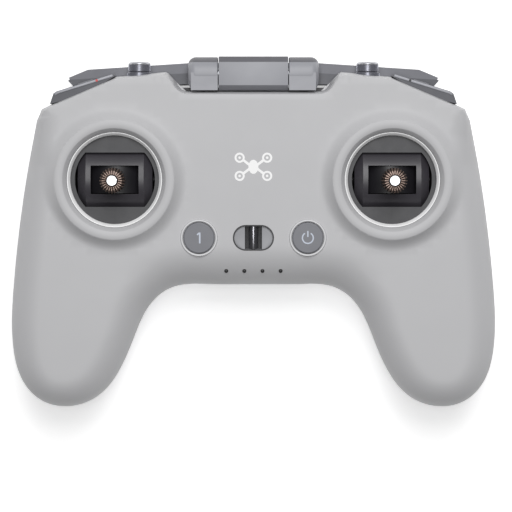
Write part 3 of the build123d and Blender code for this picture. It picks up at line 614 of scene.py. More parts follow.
def finish_piece(
    piece: bpy.types.Object, filing: Filing, look: Look, sharp: float = 35.0
) -> bpy.types.Object:
    """Dress a piece and hang it on its body.

    Args:
        piece: The object, with its mesh in place.
        filing: Where it belongs.
        look: Its finish.
        sharp: Edges that turn by more than this many degrees stay crisp.

    Returns:
        The same object.
    """
    piece.data.materials.clear()
    piece.data.materials.append(material(look))
    piece.data.shade_smooth()
    piece.data.set_sharp_from_angle(angle=math.radians(sharp))
    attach(piece, filing.body)
    if filing.nodes:
        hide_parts(*filing.nodes)
    LOG.info("%s: %d faces on %s", filing.name, len(piece.data.polygons), filing.body)
    return piece


def make_piece(
    solid: Solid, filing: Filing, look: Look, bevel: float = 0.0, sharp: float = 35.0
) -> bpy.types.Object:
    """Turn a solid into a dressed piece.

    Args:
        solid: The shape.
        filing: Where it belongs.
        look: Its finish.
        bevel: Width of the softened edges, in millimetres; nought leaves them.
        sharp: Edges that turn by more than this many degrees stay crisp.

    Returns:
        The new object.
    """
    piece = add_object(filing.name, solid.mesh(filing.name))
    if bevel > 0:
        modifier = piece.modifiers.new("edges", "BEVEL")
        modifier.width = bevel * MM
        modifier.segments = 3
        modifier.limit_method = "ANGLE"
        modifier.angle_limit = math.radians(32)
        plain(piece)
    return finish_piece(piece, filing, look, sharp)


# ---------------------------------------------------------------- repeats
class Repeat:
    """Geometry Nodes groups that copy a shape round a ring or to a set of points."""

    def __init__(self, name: str, on_ring: bool) -> None:
        """Build the group.

        Args:
            name: Name of the group.
            on_ring: Copies turn about Z if true, and sit on the input's points if not.
        """
        self.on_ring = on_ring
        self.tree = bpy.data.node_groups.new(name, "GeometryNodeTree")
        self.keys = {}
        kinds = {"Geometry": "NodeSocketGeometry", "Material": "NodeSocketMaterial"}
        if on_ring:
            kinds |= {"Count": "NodeSocketInt", "First Turn": "NodeSocketFloat"}
        else:
            kinds |= {"Copied": "NodeSocketObject"}
        for label, kind in kinds.items():
            item = self.tree.interface.new_socket(name=label, in_out="INPUT", socket_type=kind)
            self.keys[label] = item.identifier
        self.tree.interface.new_socket(name="Geometry", in_out="OUTPUT", socket_type="NodeSocketGeometry")
        nodes = self.tree.nodes
        given = nodes.new("NodeGroupInput")
        copies = nodes.new("GeometryNodeInstanceOnPoints")
        if on_ring:
            self._ring(given, copies)
        else:
            template = nodes.new("GeometryNodeObjectInfo")
            self._link(given.outputs["Copied"], template.inputs["Object"])
            self._link(given.outputs["Geometry"], copies.inputs["Points"])
            self._link(template.outputs["Geometry"], copies.inputs["Instance"])
        real = nodes.new("GeometryNodeRealizeInstances")
        dressed = nodes.new("GeometryNodeSetMaterial")
        result = nodes.new("NodeGroupOutput")
        self._link(copies.outputs["Instances"], real.inputs["Geometry"])
        self._link(real.outputs["Geometry"], dressed.inputs["Geometry"])
        self._link(given.outputs["Material"], dressed.inputs["Material"])
        self._link(dressed.outputs["Geometry"], result.inputs["Geometry"])

    def _link(self, start: bpy.types.NodeSocket, end: bpy.types.NodeSocket) -> None:
        """Join two sockets."""
        self.tree.links.new(start, end)

    def _ring(self, given: bpy.types.Node, copies: bpy.types.Node) -> None:
        """Turn each copy by its share of a full circle."""
        nodes = self.tree.nodes
        points = nodes.new("GeometryNodePoints")
        index = nodes.new("GeometryNodeInputIndex")
        share = nodes.new("ShaderNodeMath")
        share.operation = "DIVIDE"
        turn = nodes.new("ShaderNodeMath")
        turn.operation = "MULTIPLY_ADD"
        turn.inputs[1].default_value = 2 * math.pi
        vector = nodes.new("ShaderNodeCombineXYZ")
        spin = nodes.new("FunctionNodeEulerToRotation")
        self._link(given.outputs["Count"], points.inputs["Count"])
        self._link(index.outputs[0], share.inputs[0])
        self._link(given.outputs["Count"], share.inputs[1])
        self._link(share.outputs[0], turn.inputs[0])
        self._link(given.outputs["First Turn"], turn.inputs[2])
        self._link(turn.outputs[0], vector.inputs["Z"])
        self._link(vector.outputs[0], spin.inputs[0])
        self._link(points.outputs[0], copies.inputs["Points"])
        self._link(given.outputs["Geometry"], copies.inputs["Instance"])
        self._link(spin.outputs[0], copies.inputs["Rotation"])

    def apply(self, name: str, solid: Solid, look: Look, inputs: dict, placing: Matrix) -> bpy.types.Object:
        """Run the group on a solid and put the result in place.

        Args:
            name: Name of the new object.
            solid: The shape to copy, or the points to copy to.
            look: Finish of the copies.
            inputs: Value of each named input.
            placing: Where the result goes, in millimetres.

        Returns:
            A plain mesh object with no modifier.
        """
        piece = add_object(name, solid.mesh(name))
        modifier = piece.modifiers.new("repeat", "NODES")
        modifier.node_group = self.tree
        for label, value in {**inputs, "Material": material(look)}.items():
            modifier[self.keys[label]] = value
        plain(piece)
        moved = placing.copy()
        moved.translation = moved.translation * MM
        piece.data.transform(moved)
        return piece


RING = Repeat("copies_round_a_ring", True)
PLACES = Repeat("copies_at_places", False)


# ---------------------------------------------------------------- shells
def curve_through(knots: Sequence[tuple[float, float, float]], step: float) -> np.ndarray:
    """Smooth curve through knots of x, y and roll, without its last point.

    Args:
        knots: The points it passes through.
        step: Distance between samples.

    Returns:
        One row per sample.
    """
    held = np.array(knots, float)
    gaps = np.linalg.norm(np.diff(held[:, :2], axis=0), axis=1)
    at = np.concatenate(([0.0], np.cumsum(gaps)))
    count = len(held)
    system = np.eye(count)
    right = np.zeros((count, 2))
    for i in range(1, count - 1):
        before, after = gaps[i - 1], gaps[i]
        system[i, i - 1 : i + 2] = before, 2 * (before + after), after
        right[i] = 6 * ((held[i + 1, :2] - held[i, :2]) / after - (held[i, :2] - held[i - 1, :2]) / before)
    bend = np.linalg.solve(system, right)
    s = np.linspace(0, at[-1], int(at[-1] / step) + 1)[:-1]
    i = np.clip(np.searchsorted(at, s, side="right") - 1, 0, count - 2)
    gap = gaps[i][:, None]
    a = ((at[i + 1] - s)[:, None]) / gap
    b = 1 - a
    places = a * held[i, :2] + b * held[i + 1, :2]
    places += ((a**3 - a) * bend[i] + (b**3 - b) * bend[i + 1]) * gap**2 / 6
    return np.column_stack((places, np.interp(s, at, held[:, 2])))


def straight(start: Sequence[float], end: Sequence[float], step: float) -> np.ndarray:
    """Samples along a straight run, without its last point."""
    first, last = np.array(start, float), np.array(end, float)
    count = max(1, int(np.linalg.norm(last[:2] - first[:2]) / step))
    return first + (last - first) * (np.arange(count) / count)[:, None]


@dataclass
class Plan:
    """Plan of the body: the right half's grip curve, and how far the edge rolls in at each point."""

    half_width: float = 95.0
    bottom_y: float = -20.4
    top_y: float = 62.8
    grip_end_y: float = -68.5
    bottom_roll: float = 16.0
    side_roll: float = 12.0
    top_roll: float = 1.5
    step: float = 0.9

    def grip(self) -> list[tuple[float, float, float]]:
        """Right-hand grip from the bottom edge up to the shoulder."""
        w, b, g, t = self.half_width, self.bottom_y, self.grip_end_y, self.top_y
        wide, side = self.bottom_roll, self.side_roll
        return [
            (17.0, b, wide),
            (w - 62.3, b - 1.5, wide),
            (w - 55.8, b - 6.2, wide - 2),
            (w - 48.2, b - 20.3, side),
            (w - 41.9, g + 13.7, side),
            (w - 34.1, g + 4.3, side),
            (w - 23.0, g, side),
            (w - 12.2, g + 1.9, side),
            (w - 4.7, g + 9.0, side),
            (w - 0.4, g + 23.1, side),
            (w - 0.6, -22.0, side),
            (w - 3.1, 1.6, side),
            (w - 7.1, 27.4, side),
            (w - 10.4, t - 18.9, 5.0),
        ]

    def shoulder(self) -> list[tuple[float, float, float]]:
        """Right-hand shoulder, from its outer corner inwards."""
        w, t, roll = self.half_width, self.top_y, self.top_roll
        return [(w - 12.6, t - 14.3, 2.4), (w - 16.2, t - 12.7, roll), (w - 41.7, t - 1.9, roll)]

    def closed(self, ending: Sequence[tuple[float, float, float]]) -> np.ndarray:
        """Whole loop, anticlockwise.

        Args:
            ending: Right-hand corners after the shoulder, up to the centre.

        Returns:
            One row of x, y and roll per sample.
        """
        grip = self.grip()
        runs = [curve_through(grip, self.step)]
        corners = [grip[-1], *self.shoulder(), *ending]
        for start, end in zip(corners, corners[1:]):
            runs.append(straight(start, end, self.step))
        half = np.vstack([*runs, np.array([corners[-1]])])
        across = straight(half[-1], half[-1] * (-1, 1, 1), self.step)[1:]
        left = half[::-1] * (-1, 1, 1)
        bottom = straight(left[-1], half[0], self.step)[1:]
        return np.vstack([half, across, left, bottom])


def edge_share(points: np.ndarray, loop: np.ndarray, scale: float = 1.0) -> np.ndarray:
    """How far in each point is, as a share of the roll of the edge nearest to it.

    Args:
        points: Points to measure.
        loop: Outline rows of x, y and roll.
        scale: Widens every roll.

    Returns:
        Nought on the outline and one where the roll ends, never more.
    """
    start, end = loop, np.roll(loop, -1, axis=0)
    along = end[:, :2] - start[:, :2]
    length = np.maximum((along**2).sum(axis=1), 1e-12)
    found = np.empty(len(points))
    for low in range(0, len(points), 2000):
        part = points[low : low + 2000]
        offset = part[:, None, :] - start[None, :, :2]
        t = np.clip((offset * along).sum(axis=2) / length, 0, 1)
        gap = np.linalg.norm(offset - t[:, :, None] * along, axis=2)
        roll = start[:, 2] + t * (end[:, 2] - start[:, 2])
        found[low : low + 2000] = (gap / (roll * scale)).min(axis=1)
    return np.clip(found, 0, 1)


@dataclass
class Shell:
    """A moulded half of the body, made as a height over its plan."""

    plan: Plan = field(default_factory=Plan)
    parting_z: float = 20.0
    seam: float = 0.12
    wall: float = 1.6
    roll_scale: float = 1.0
    turns: tuple[float, ...] = (6, 12, 18, 24, 30, 36, 42, 48, 54, 60, 66, 72, 78, 84, 90)
    spacing: float = 3.0

    def loop(self) -> np.ndarray:
        """Outline of this half."""
        raise NotImplementedError

    def height(self, points: np.ndarray, share: np.ndarray) -> np.ndarray:
        """Height of the skin over each point."""
        raise NotImplementedError

    def creases(self) -> list[list[Point]]:
        """Loops that the mesh follows."""
        return []

    def holes(self) -> list[list[Point]]:
        """Loops that are cut out."""
        return []

    def loose(self, loop: np.ndarray) -> np.ndarray:
        """Points between the outline and the features, following the roll of the edge."""
        ahead, behind = np.roll(loop, -2, axis=0), np.roll(loop, 2, axis=0)
        along = ahead[:, :2] - behind[:, :2]
        along /= np.linalg.norm(along, axis=1)[:, None]
        inward = np.column_stack((-along[:, 1], along[:, 0]))
        found = []
        for turn in self.turns:
            share = 1 - math.cos(math.radians(turn))
            ring = loop[:, :2] + inward * (loop[:, 2] * self.roll_scale * share)[:, None]
            true = np.abs(edge_share(ring, loop, self.roll_scale) - share) < 0.012
            found.append(ring[true & inside(ring, loop)])
        low, high = loop[:, :2].min(axis=0), loop[:, :2].max(axis=0)
        grid = np.stack(
            np.meshgrid(
                np.arange(low[0], high[0], self.spacing), np.arange(low[1], high[1], self.spacing)
            ),
            -1,
        ).reshape(-1, 2)
        grid = grid[inside(grid, loop)]
        found.append(grid[edge_share(grid, loop, self.roll_scale) >= 0.999])
        return np.vstack(found)

    def clear(self, points: np.ndarray, loops: Iterable[Outline], gap: float) -> np.ndarray:
        """Drop points that crowd a loop."""
        kept = points
        for loop in loops:
            corners = np.array(loop)
            near = np.linalg.norm(kept[:, None, :] - corners[None], axis=2).min(axis=1) < gap
            kept = kept[~near]
        return kept

    def skin(self) -> Solid:
        """Outer surface as an open mesh."""
        loop = self.loop()
        outline = [tuple(p) for p in loop[:, :2]]
        holes = self.holes()
        features = holes + self.creases()
        extra = self.clear(self.loose(loop), features, 0.6)
        points, faces = triangles([outline, *features], [tuple(p) for p in extra])
        middles = np.array([points[list(f)].mean(axis=0) for f in faces])
        keep = inside(middles, loop)
        for hole in holes:
            keep &= ~inside(middles, np.array(hole))
        share = edge_share(points, loop, self.roll_scale)
        z = self.height(points, share)
        solid = Solid([(x, y, h) for (x, y), h in zip(points, z)], [f for f, k in zip(faces, keep) if k])
        return solid

    def shell_mesh(
        self, name: str, extra: Solid, flip: bool, cutters: Sequence[Solid] = ()
    ) -> bpy.types.Object:
        """Give the skin a wall, add the loose solids and make the cuts.

        Args:
            name: Name of the object.
            extra: Closed solids joined to the shell.
            flip: Whether the skin faces down.
            cutters: Solids taken away at the end.

        Returns:
            The object.
        """
        skin = self.skin()
        mesh = bpy.data.meshes.new(name)
        faces = [tuple(reversed(f)) for f in skin.faces] if flip else skin.faces
        mesh.from_pydata([tuple(c * MM for c in p) for p in skin.points], [], faces)
        work = bmesh.new()
        work.from_mesh(mesh)
        bmesh.ops.delete(work, geom=[v for v in work.verts if not v.link_faces], context="VERTS")
        work.to_mesh(mesh)
        work.free()
        piece = add_object(name, mesh)
        modifier = piece.modifiers.new("wall", "SOLIDIFY")
        modifier.thickness = self.wall * MM
        modifier.offset = -1
        plain(piece)
        if cutters:
            for number, cutter in enumerate(cutters):
                tool = add_object(f"{name}_cutter_{number}", cutter.mesh("cutter"))
                cut = piece.modifiers.new("cut", "BOOLEAN")
                cut.operation = "DIFFERENCE"
                cut.solver = "EXACT"
                cut.object = tool
                plain(piece)
                bpy.data.objects.remove(tool)
        if extra.points:
            work = bmesh.new()
            work.from_mesh(piece.data)
            work.from_mesh(extra.mesh("loose"))
            work.to_mesh(piece.data)
            work.free()
        return piece


@dataclass
class FrontShell(Shell):
    """Face of the transmitter with its gimbal collars, button rims and cut-outs."""

    face_z: float = 35.0
    gimbal: tuple[float, float] = (53.5, 21.0)
    collar_profile: tuple[Point, ...] = (
        (18.4, 1.3),
        (19.75, 3.3),
        (20.0, 3.5),
        (22.8, 3.5),
        (23.05, 3.36),
    )
    flare: float = 4.8
    button: tuple[float, float] = (21.0, -1.4)
    rim_profile: tuple[Point, ...] = (
        (6.3, 0.28),
        (6.45, 0.46),
        (6.6, 0.5),
        (6.95, 0.5),
        (7.1, 0.38),
        (7.25, 0.0),
    )
    cup: tuple[float, float] = (15.9, 10.0)
    light_y: float = -14.4
    light_pitch: float = 7.03
    light_radius: float = 0.8
    notch: tuple[Point, ...] = (
        (34.2, 62.75),
        (33.2, 62.3),
        (30.2, 59.0),
        (29.3, 57.4),
        (28.0, 56.0),
        (26.2, 55.3),
        (24.6, 55.2),
    )
    shoulder_floor: tuple[Point, ...] = (
        (26.4, 54.9),
        (67.0, 54.9),
        (53.2, 60.6),
        (39.0, 61.7),
        (33.7, 62.3),
        (30.2, 58.9),
        (26.4, 55.5),
    )
    shoulder_floor_z: tuple[float, float] = (20.1, 21.7)

    def loop(self) -> np.ndarray:
        """Outline with the hinge notch."""
        return self.plan.closed([(x, y, self.plan.top_roll) for x, y in self.notch])

    def _collar(self, distance: np.ndarray) -> np.ndarray:
        """Rise of a collar at a distance from its gimbal."""
        radii, rises = zip(*self.collar_profile)
        inner = np.interp(distance, radii, rises)
        t = np.clip((distance - radii[-1]) / self.flare, 0, 1)
        return np.where(distance <= radii[-1], inner, rises[-1] * (1 - t) ** 1.7)

    def height(self, points: np.ndarray, share: np.ndarray) -> np.ndarray:
        """Rolled edge, plus collars and button rims."""
        rise = self.face_z - self.parting_z
        z = self.parting_z + self.seam + (rise - self.seam) * np.sqrt(1 - (1 - share) ** 2)
        radii, rises = zip(*self.rim_profile)
        for side in (-1, 1):
            z = z + self._collar(
                np.hypot(points[:, 0] - side * self.gimbal[0], points[:, 1] - self.gimbal[1])
            )
            away = np.hypot(points[:, 0] - side * self.button[0], points[:, 1] - self.button[1])
            z = z + np.interp(away, radii, rises)
        return z

    def creases(self) -> list[list[Point]]:
        """Rings of the collars and rims."""
        found = []
        for side in (-1, 1):
            x, y = side * self.gimbal[0], self.gimbal[1]
            found += [circle(x, y, r, 144) for r, _ in self.collar_profile[1:]]
            found += [
                circle(x, y, self.collar_profile[-1][0] + self.flare * t, 120) for t in (0.06, 0.15, 0.28)
            ]
            bx, by = side * self.button[0], self.button[1]
            found += [circle(bx, by, r, 72) for r, _ in self.rim_profile[1:]]
        return found

    def loose(self, loop: np.ndarray) -> np.ndarray:
        """Add the outer part of each flare."""
        found = [super().loose(loop)]
        for side in (-1, 1):
            for t in (0.42, 0.58, 0.76, 1.0):
                radius = self.collar_profile[-1][0] + self.flare * t
                found.append(np.array(circle(side * self.gimbal[0], self.gimbal[1], radius, 96)))
        made = np.vstack(found)
        for side in (-1, 1):
            away = np.hypot(made[:, 0] - side * self.gimbal[0], made[:, 1] - self.gimbal[1])
            made = made[away > self.collar_profile[-1][0] + 0.3]
        return made

    def holes(self) -> list[list[Point]]:
        """Gimbal bores, button holes, lanyard recess and light holes."""
        found = []
        for side in (-1, 1):
            found.append(circle(side * self.gimbal[0], self.gimbal[1], self.collar_profile[0][0], 144))
            found.append(circle(side * self.button[0], self.button[1], self.rim_profile[0][0], 72))
        found.append(stadium(0, self.button[1], *self.cup))
        for place in (-1.5, -0.5, 0.5, 1.5):
            found.append(circle(place * self.light_pitch, self.light_y, self.light_radius, 20))
        return found

    def build(self) -> None:
        """Make the front shell."""
        floors = Solid()
        for side in (-1, 1):
            outline = [(side * x, y) for x, y in self.shoulder_floor]
            floors = floors.plus(prism([outline], *self.shoulder_floor_z))
        piece = self.shell_mesh("front_shell_moulding", floors, False)
        finish_piece(piece, Filing("front_shell_moulding", "case", "shell", ("front_shell",)), Look.SHELL, 40)


@dataclass
class BackShell(Shell):
    """Rounded back with its raised middle, screw wells, charge port and stick storage."""

    roll_scale: float = 14.0 / 12.0
    bay_y: float = 56.8
    scoop_z: float = 7.0
    scoop_x: tuple[float, float] = (26.0, 42.0)
    scoop_y: tuple[float, float] = (-8.0, 2.0)
    screws: tuple[Point, ...] = ((79.5, 30.0), (71.0, -47.0), (28.0, -13.0), (32.0, 52.0))
    well_radius: float = 2.7
    well_wall: float = 0.9
    screw_bore: float = 1.4
    seat_z: float = 10.0
    seat_height: float = 1.2
    port: tuple[float, float, float] = (9.2, 3.5, 13.0)
    store: tuple[float, float, float] = (13.5, 4.0, 14.0)

    def loop(self) -> np.ndarray:
        """Outline cut straight across for the antenna bay."""
        plan = self.plan
        corner, edge = plan.shoulder()[-2:]
        share = (self.bay_y - corner[1]) / (edge[1] - corner[1])
        x = corner[0] + share * (edge[0] - corner[0])
        loop = plan.closed([(x, self.bay_y, 0.6)])
        held = loop[:, 1] <= self.bay_y + 1e-6
        return loop[held]

    def height(self, points: np.ndarray, share: np.ndarray) -> np.ndarray:
        """Rolled back, no lower than the raised middle."""
        depth = self.parting_z - self.seam
        z = depth - depth * np.sqrt(1 - (1 - share) ** 2)
        across = np.clip((self.scoop_x[1] - np.abs(points[:, 0])) / (self.scoop_x[1] - self.scoop_x[0]), 0, 1)
        up = np.clip((self.scoop_y[1] - points[:, 1]) / (self.scoop_y[1] - self.scoop_y[0]), 0, 1)
        smooth = across**2 * (3 - 2 * across) * up**2 * (3 - 2 * up)
        lift = self.scoop_z * smooth
        return z + lift * np.clip((depth - z) / depth, 0, 1)

    def holes(self) -> list[list[Point]]:
        """Screw wells."""
        return [circle(side * x, y, self.well_radius, 40) for side in (-1, 1) for x, y in self.screws]

    def build(self) -> None:
        """Make the back shell."""
        sleeves = Solid()
        outer = self.well_radius + self.well_wall
        for side in (-1, 1):
            for x, y in self.screws:
                points = np.array([(side * x, y)])
                top = float(self.height(points, edge_share(points, self.loop(), self.roll_scale))[0])
                ring = [
                    (self.well_radius, top + 0.5),
                    (outer, top + 0.8),
                    (outer, self.seat_z),
                    (self.well_radius, self.seat_z),
                ]
                seat = [
                    (self.screw_bore, self.seat_z),
                    (outer, self.seat_z),
                    (outer, self.seat_z + self.seat_height),
                    (self.screw_bore, self.seat_z + self.seat_height),
                ]
                spot = Matrix.Translation((side * x, y, 0))
                sleeves = sleeves.plus(lathe(ring, 40).placed(spot)).plus(lathe(seat, 40).placed(spot))
        length, width, z = self.port
        cutters = [prism([stadium(0, 0, length, width)], -4, 6).placed(axis_y(0, self.plan.bottom_y, z))]
        x, radius, z = self.store
        for side in (-1, 1):
            cutters.append(
                lathe([(0, -4), (radius, -4), (radius, 6), (0, 6)], 48).placed(
                    axis_y(side * x, self.plan.bottom_y, z)
                )
            )
        piece = self.shell_mesh("back_shell_moulding", sleeves, True, cutters)
        finish_piece(piece, Filing("back_shell_moulding", "case", "shell", ("back_shell",)), Look.SHELL, 40)


# ---------------------------------------------------------------- gimbals
@dataclass
class Gimbal:
    """One stick's turned pieces: trim ring, and crown with its ribs and cap; the drums below it are not made
    here.
    """

    side: int
    name: str
    centre: tuple[float, float] = (53.5, 21.0)
    trim_outer: float = 18.35
    trim_bore: float = 17.1
    plate_z: float = 33.1
    trim_top: float = 36.0
    crown_radius: float = 4.8
    crown_low: float = 41.1
    crown_top: float = 51.0
    crown_bore: float = 1.55
    teeth: int = 24
    cap_radius: float = 2.0

    def _spot(self) -> Matrix:
        """Placing at this stick's centre."""
        return Matrix.Translation((self.side * self.centre[0], self.centre[1], 0))

    def trim(self) -> None:
        """Pale ring inside the collar."""
        profile = [
            (self.trim_bore, self.plate_z),
            (self.trim_outer, self.plate_z),
            (self.trim_outer, self.trim_top),
            (self.trim_outer - 0.35, self.trim_top),
            (self.trim_bore, self.trim_top - 1.3),
        ]
        solid = lathe(rounded(profile, 0.12), 144).placed(self._spot())
        filing = Filing(f"{self.name}_trim_ring", "case", "trim", (f"{self.name}_gimbal_trim",))
        make_piece(solid, filing, Look.TRIM)

    def crown(self) -> None:
        """Ribbed crown: a turned core with ribs set round it."""
        low, high, radius = self.crown_low, self.crown_top, self.crown_radius
        core = [
            (self.crown_bore, low),
            (radius - 0.7, low),
            (radius - 0.55, low + 0.5),
            (radius - 0.55, high - 1.6),
            (radius - 1.3, high - 0.9),
            (self.cap_radius + 0.25, high - 0.55),
            (self.cap_radius + 0.05, high - 0.1),
            (self.cap_radius + 0.05, high - 0.9),
            (self.crown_bore, high - 1.0),
        ]
        body = f"{self.name}_crown"
        solid = lathe(rounded(core, 0.15), 96).placed(self._spot())
        make_piece(
            solid,
            Filing(f"{self.name}_crown_core", body, "stick_metal", (f"{self.name}_stick_crown",)),
            Look.CROWN,
        )
        inner = self.cap_radius + 0.35
        ridge = [
            (inner, high - 0.9),
            (inner, high - 0.25),
            (radius - 1.0, high - 0.3),
            (radius - 0.1, high - 1.1),
            (radius, high - 1.7),
            (radius, low + 0.7),
            (radius - 0.35, low + 0.2),
            (radius - 0.9, low + 0.2),
            (radius - 0.9, high - 2.4),
        ]
        thin, thick = 0.12, 0.26
        rib = prism([ridge], -1, 1)
        rib.points = [
            (r, math.copysign(thin + (thick - thin) * (r - inner) / (radius - inner), t), h)
            for r, h, t in rib.points
        ]
        # The ribs are the crown's bronze painted lighter, as painted highlight.
        ribs = RING.apply(
            f"{self.name}_crown_ribs",
            rib,
            Look.CROWN_RIB_HIGHLIGHT,
            {"Count": self.teeth, "First Turn": 0.0},
            self._spot(),
        )
        finish_piece(ribs, Filing(f"{self.name}_crown_ribs", body, "stick_metal"), Look.CROWN_RIB_HIGHLIGHT)
        cap = [(0, high - 0.6), (1.95, high - 0.6), (1.95, high - 0.12), (1.8, high), (0, high)]
        solid = lathe(cap, 64).placed(self._spot())
        make_piece(
            solid, Filing(f"{self.name}_cap_disc", body, "cap_metal", (f"{self.name}_crown_cap",)), Look.CAP
        )

    def build(self) -> None:
        """Make the visible turned pieces."""
        self.trim()
        self.crown()


# ---------------------------------------------------------------- face controls
@dataclass
class FaceButton:
    """Round key with an inlaid mark."""

    side: int
    name: str
    centre: tuple[float, float] = (21.0, -1.4)
    radius: float = 6.0
    top: float = 35.6
    low: float = 30.6
    ink: float = 0.04
    rim: tuple[Point, ...] = (
        (0.32, 34.2),
        (0.32, 35.3),
        (0.55, 35.56),
        (0.85, 35.56),
        (1.1, 35.25),
        (1.1, 34.2),
    )

    def mark(self) -> Solid:
        """Numeral on the left key, stand-by sign on the right one."""
        x, y = self.side * self.centre[0], self.centre[1]
        low, high = self.top - 0.3, self.top + self.ink
        if self.side > 0:
            ring = prism([strip((x, y), 2.1, 0.5, 122, 418)], low, high)
            return ring.plus(prism([bar((x, y + 0.4), (x, y + 2.7), 0.5)], low, high))
        stem = prism([bar((x + 0.3, y - 2.1), (x + 0.3, y + 2.1), 0.6)], low, high)
        flag = prism([bar((x - 0.75, y + 1.2), (x + 0.15, y + 1.95), 0.55)], low, high - 0.005)
        return stem.plus(flag)

    def build(self) -> None:
        """Make the key and its mark."""
        top, low, r = self.top, self.low, self.radius
        profile = [(0, top - 0.02), (r - 0.9, top - 0.02), (r - 0.3, top), (r, top - 0.3), (r, low), (0, low)]
        smooth = [(0, top - 0.02), *rounded(profile, 0.25)[1:-1], (0, low)]
        spot = Matrix.Translation((self.side * self.centre[0], self.centre[1], 0))
        flange = lathe([(0, low + 1.2), (r + 0.8, low + 1.2), (r + 0.8, low), (0, low)], 72)
        solid = lathe(smooth, 96).plus(flange.placed(Matrix.Translation((0, 0, -0.01)))).placed(spot)
        make_piece(solid, Filing(f"{self.name}_key", self.name, "key_grey", (self.name,)), Look.KEY)
        make_piece(self.mark(), Filing(f"{self.name}_mark", self.name, "key_grey"), Look.KEY_INK)
        # The surround is the shell's own rim, painted lighter as painted highlight.
        rim = [(r + away, height) for away, height in self.rim]
        ring = lathe(rounded(rim, 0.12), 96).placed(spot)
        make_piece(ring, Filing(f"{self.name}_surround", "case", "shell"), Look.SURROUND_HIGHLIGHT)


@dataclass
class Emblem:
    """Flat pictogram of a four-rotor aircraft, in white ink."""

    centre: tuple[float, float] = (0.0, 26.0)
    reach: tuple[float, float] = (5.3, 3.5)
    rotor: float = 1.95
    hub: float = 0.5
    line: float = 0.75
    arm: float = 0.95
    hull: tuple[float, float] = (1.9, 2.7)
    low: float = 34.9
    high: float = 35.05

    def build(self) -> None:
        """Make rotors, arms and hull."""
        cx, cy = self.centre
        solid = Solid()
        for sx in (-1, 1):
            for sy in (-1, 1):
                x, y = cx + sx * self.reach[0], cy + sy * self.reach[1]
                ring = [circle(x, y, self.rotor, 40), circle(x, y, self.rotor - self.line, 40)]
                solid = solid.plus(prism(ring, self.low, self.high))
                solid = solid.plus(prism([circle(x, y, self.hub, 20)], self.low, self.high))
                away = Vector((sx * self.reach[0], sy * self.reach[1])).normalized()
                start = (cx + away.x * 1.6, cy + away.y * 1.1)
                end = (x - away.x * (self.rotor - 0.15), y - away.y * (self.rotor - 0.15))
                solid = solid.plus(prism([bar(start, end, self.arm)], self.low, self.high - 0.005))
        hull = [
            (cx + self.hull[0] * math.cos(t), cy + self.hull[1] * math.sin(t))
            for t in (2 * math.pi * i / 48 for i in range(48))
        ]
        solid = solid.plus(prism([hull], self.low, self.high + 0.004))
        make_piece(solid, Filing("face_emblem", "case", "shell"), Look.INK)


@dataclass
class LanyardCup:
    """Recess with its crossbar and pads; its wall and the floor under the channel are painted near-black as
    painted shade.
    """

    centre_y: float = -1.4
    length: float = 15.7
    width: float = 9.8
    wall: float = 0.4
    top: float = 34.7
    pad: float = 33.9
    low: float = 26.7
    channel: float = 3.3
    bar_radius: float = 1.7
    bar_z: float = 32.5

    def build(self) -> None:
        """Make the cup, its wall and floor painted near-black as painted shade, and the bar."""
        y = self.centre_y
        outer = stadium(0, y, self.length, self.width)
        inner = stadium(0, y, self.length - 2 * self.wall, self.width - 2 * self.wall)
        slot_y = self.width / 2 - self.wall - 0.05
        slot = [
            (-self.channel, y - slot_y),
            (self.channel, y - slot_y),
            (self.channel, y + slot_y),
            (-self.channel, y + slot_y),
        ]
        # The cup wall and the floor under the channel are painted near-black: painted shade of the deep slots
        # and the recess edge.
        wall = prism([outer, inner], self.low, self.top)
        pads = prism([inner, slot], self.low + 2, self.pad)
        case = Filing("lanyard_recess", "case", "cup_grey", ("lanyard_cup",))
        make_piece(pads, case, Look.CUP, 0.6)
        shade_floor = prism([inner], self.low, self.low + 1.2)
        make_piece(wall.plus(shade_floor), Filing("lanyard_recess_lining", "case", "cup_grey"), Look.DARK_MARK_AND_SHADE)
        half = self.width / 2 - 0.4
        profile = rounded([(0, -half), (self.bar_radius, -half), (self.bar_radius, half), (0, half)], 0.2)
        solid = lathe(profile, 48).placed(axis_y(0, y, self.bar_z))
        make_piece(solid, Filing("lanyard_crossbar", "case", "graphite", ("lanyard_bar",)), Look.BAR)


@dataclass
class StatusLights:
    """Row of four small smoked lenses."""

    y: float = -14.4
    pitch: float = 7.03
    radius: float = 0.75

    def build(self) -> None:
        """Set one lens at each place."""
        low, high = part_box("status_lights")
        top, base = high.z / MM, low.z / MM
        profile = [
            (0, base),
            (self.radius, base),
            (self.radius, top - 0.12),
            (self.radius - 0.2, top),
            (0, top),
        ]
        lens = add_object("lens_pattern", lathe(profile, 28).mesh("lens_pattern"))
        places = Solid([(place * self.pitch, self.y, 0.0) for place in (-1.5, -0.5, 0.5, 1.5)], [])
        made = PLACES.apply("status_lenses", places, Look.LENS, {"Copied": lens}, Matrix.Identity(4))
        bpy.data.objects.remove(lens)
        finish_piece(made, Filing("status_lenses", "case", "light_pipe", ("status_lights",)), Look.LENS)


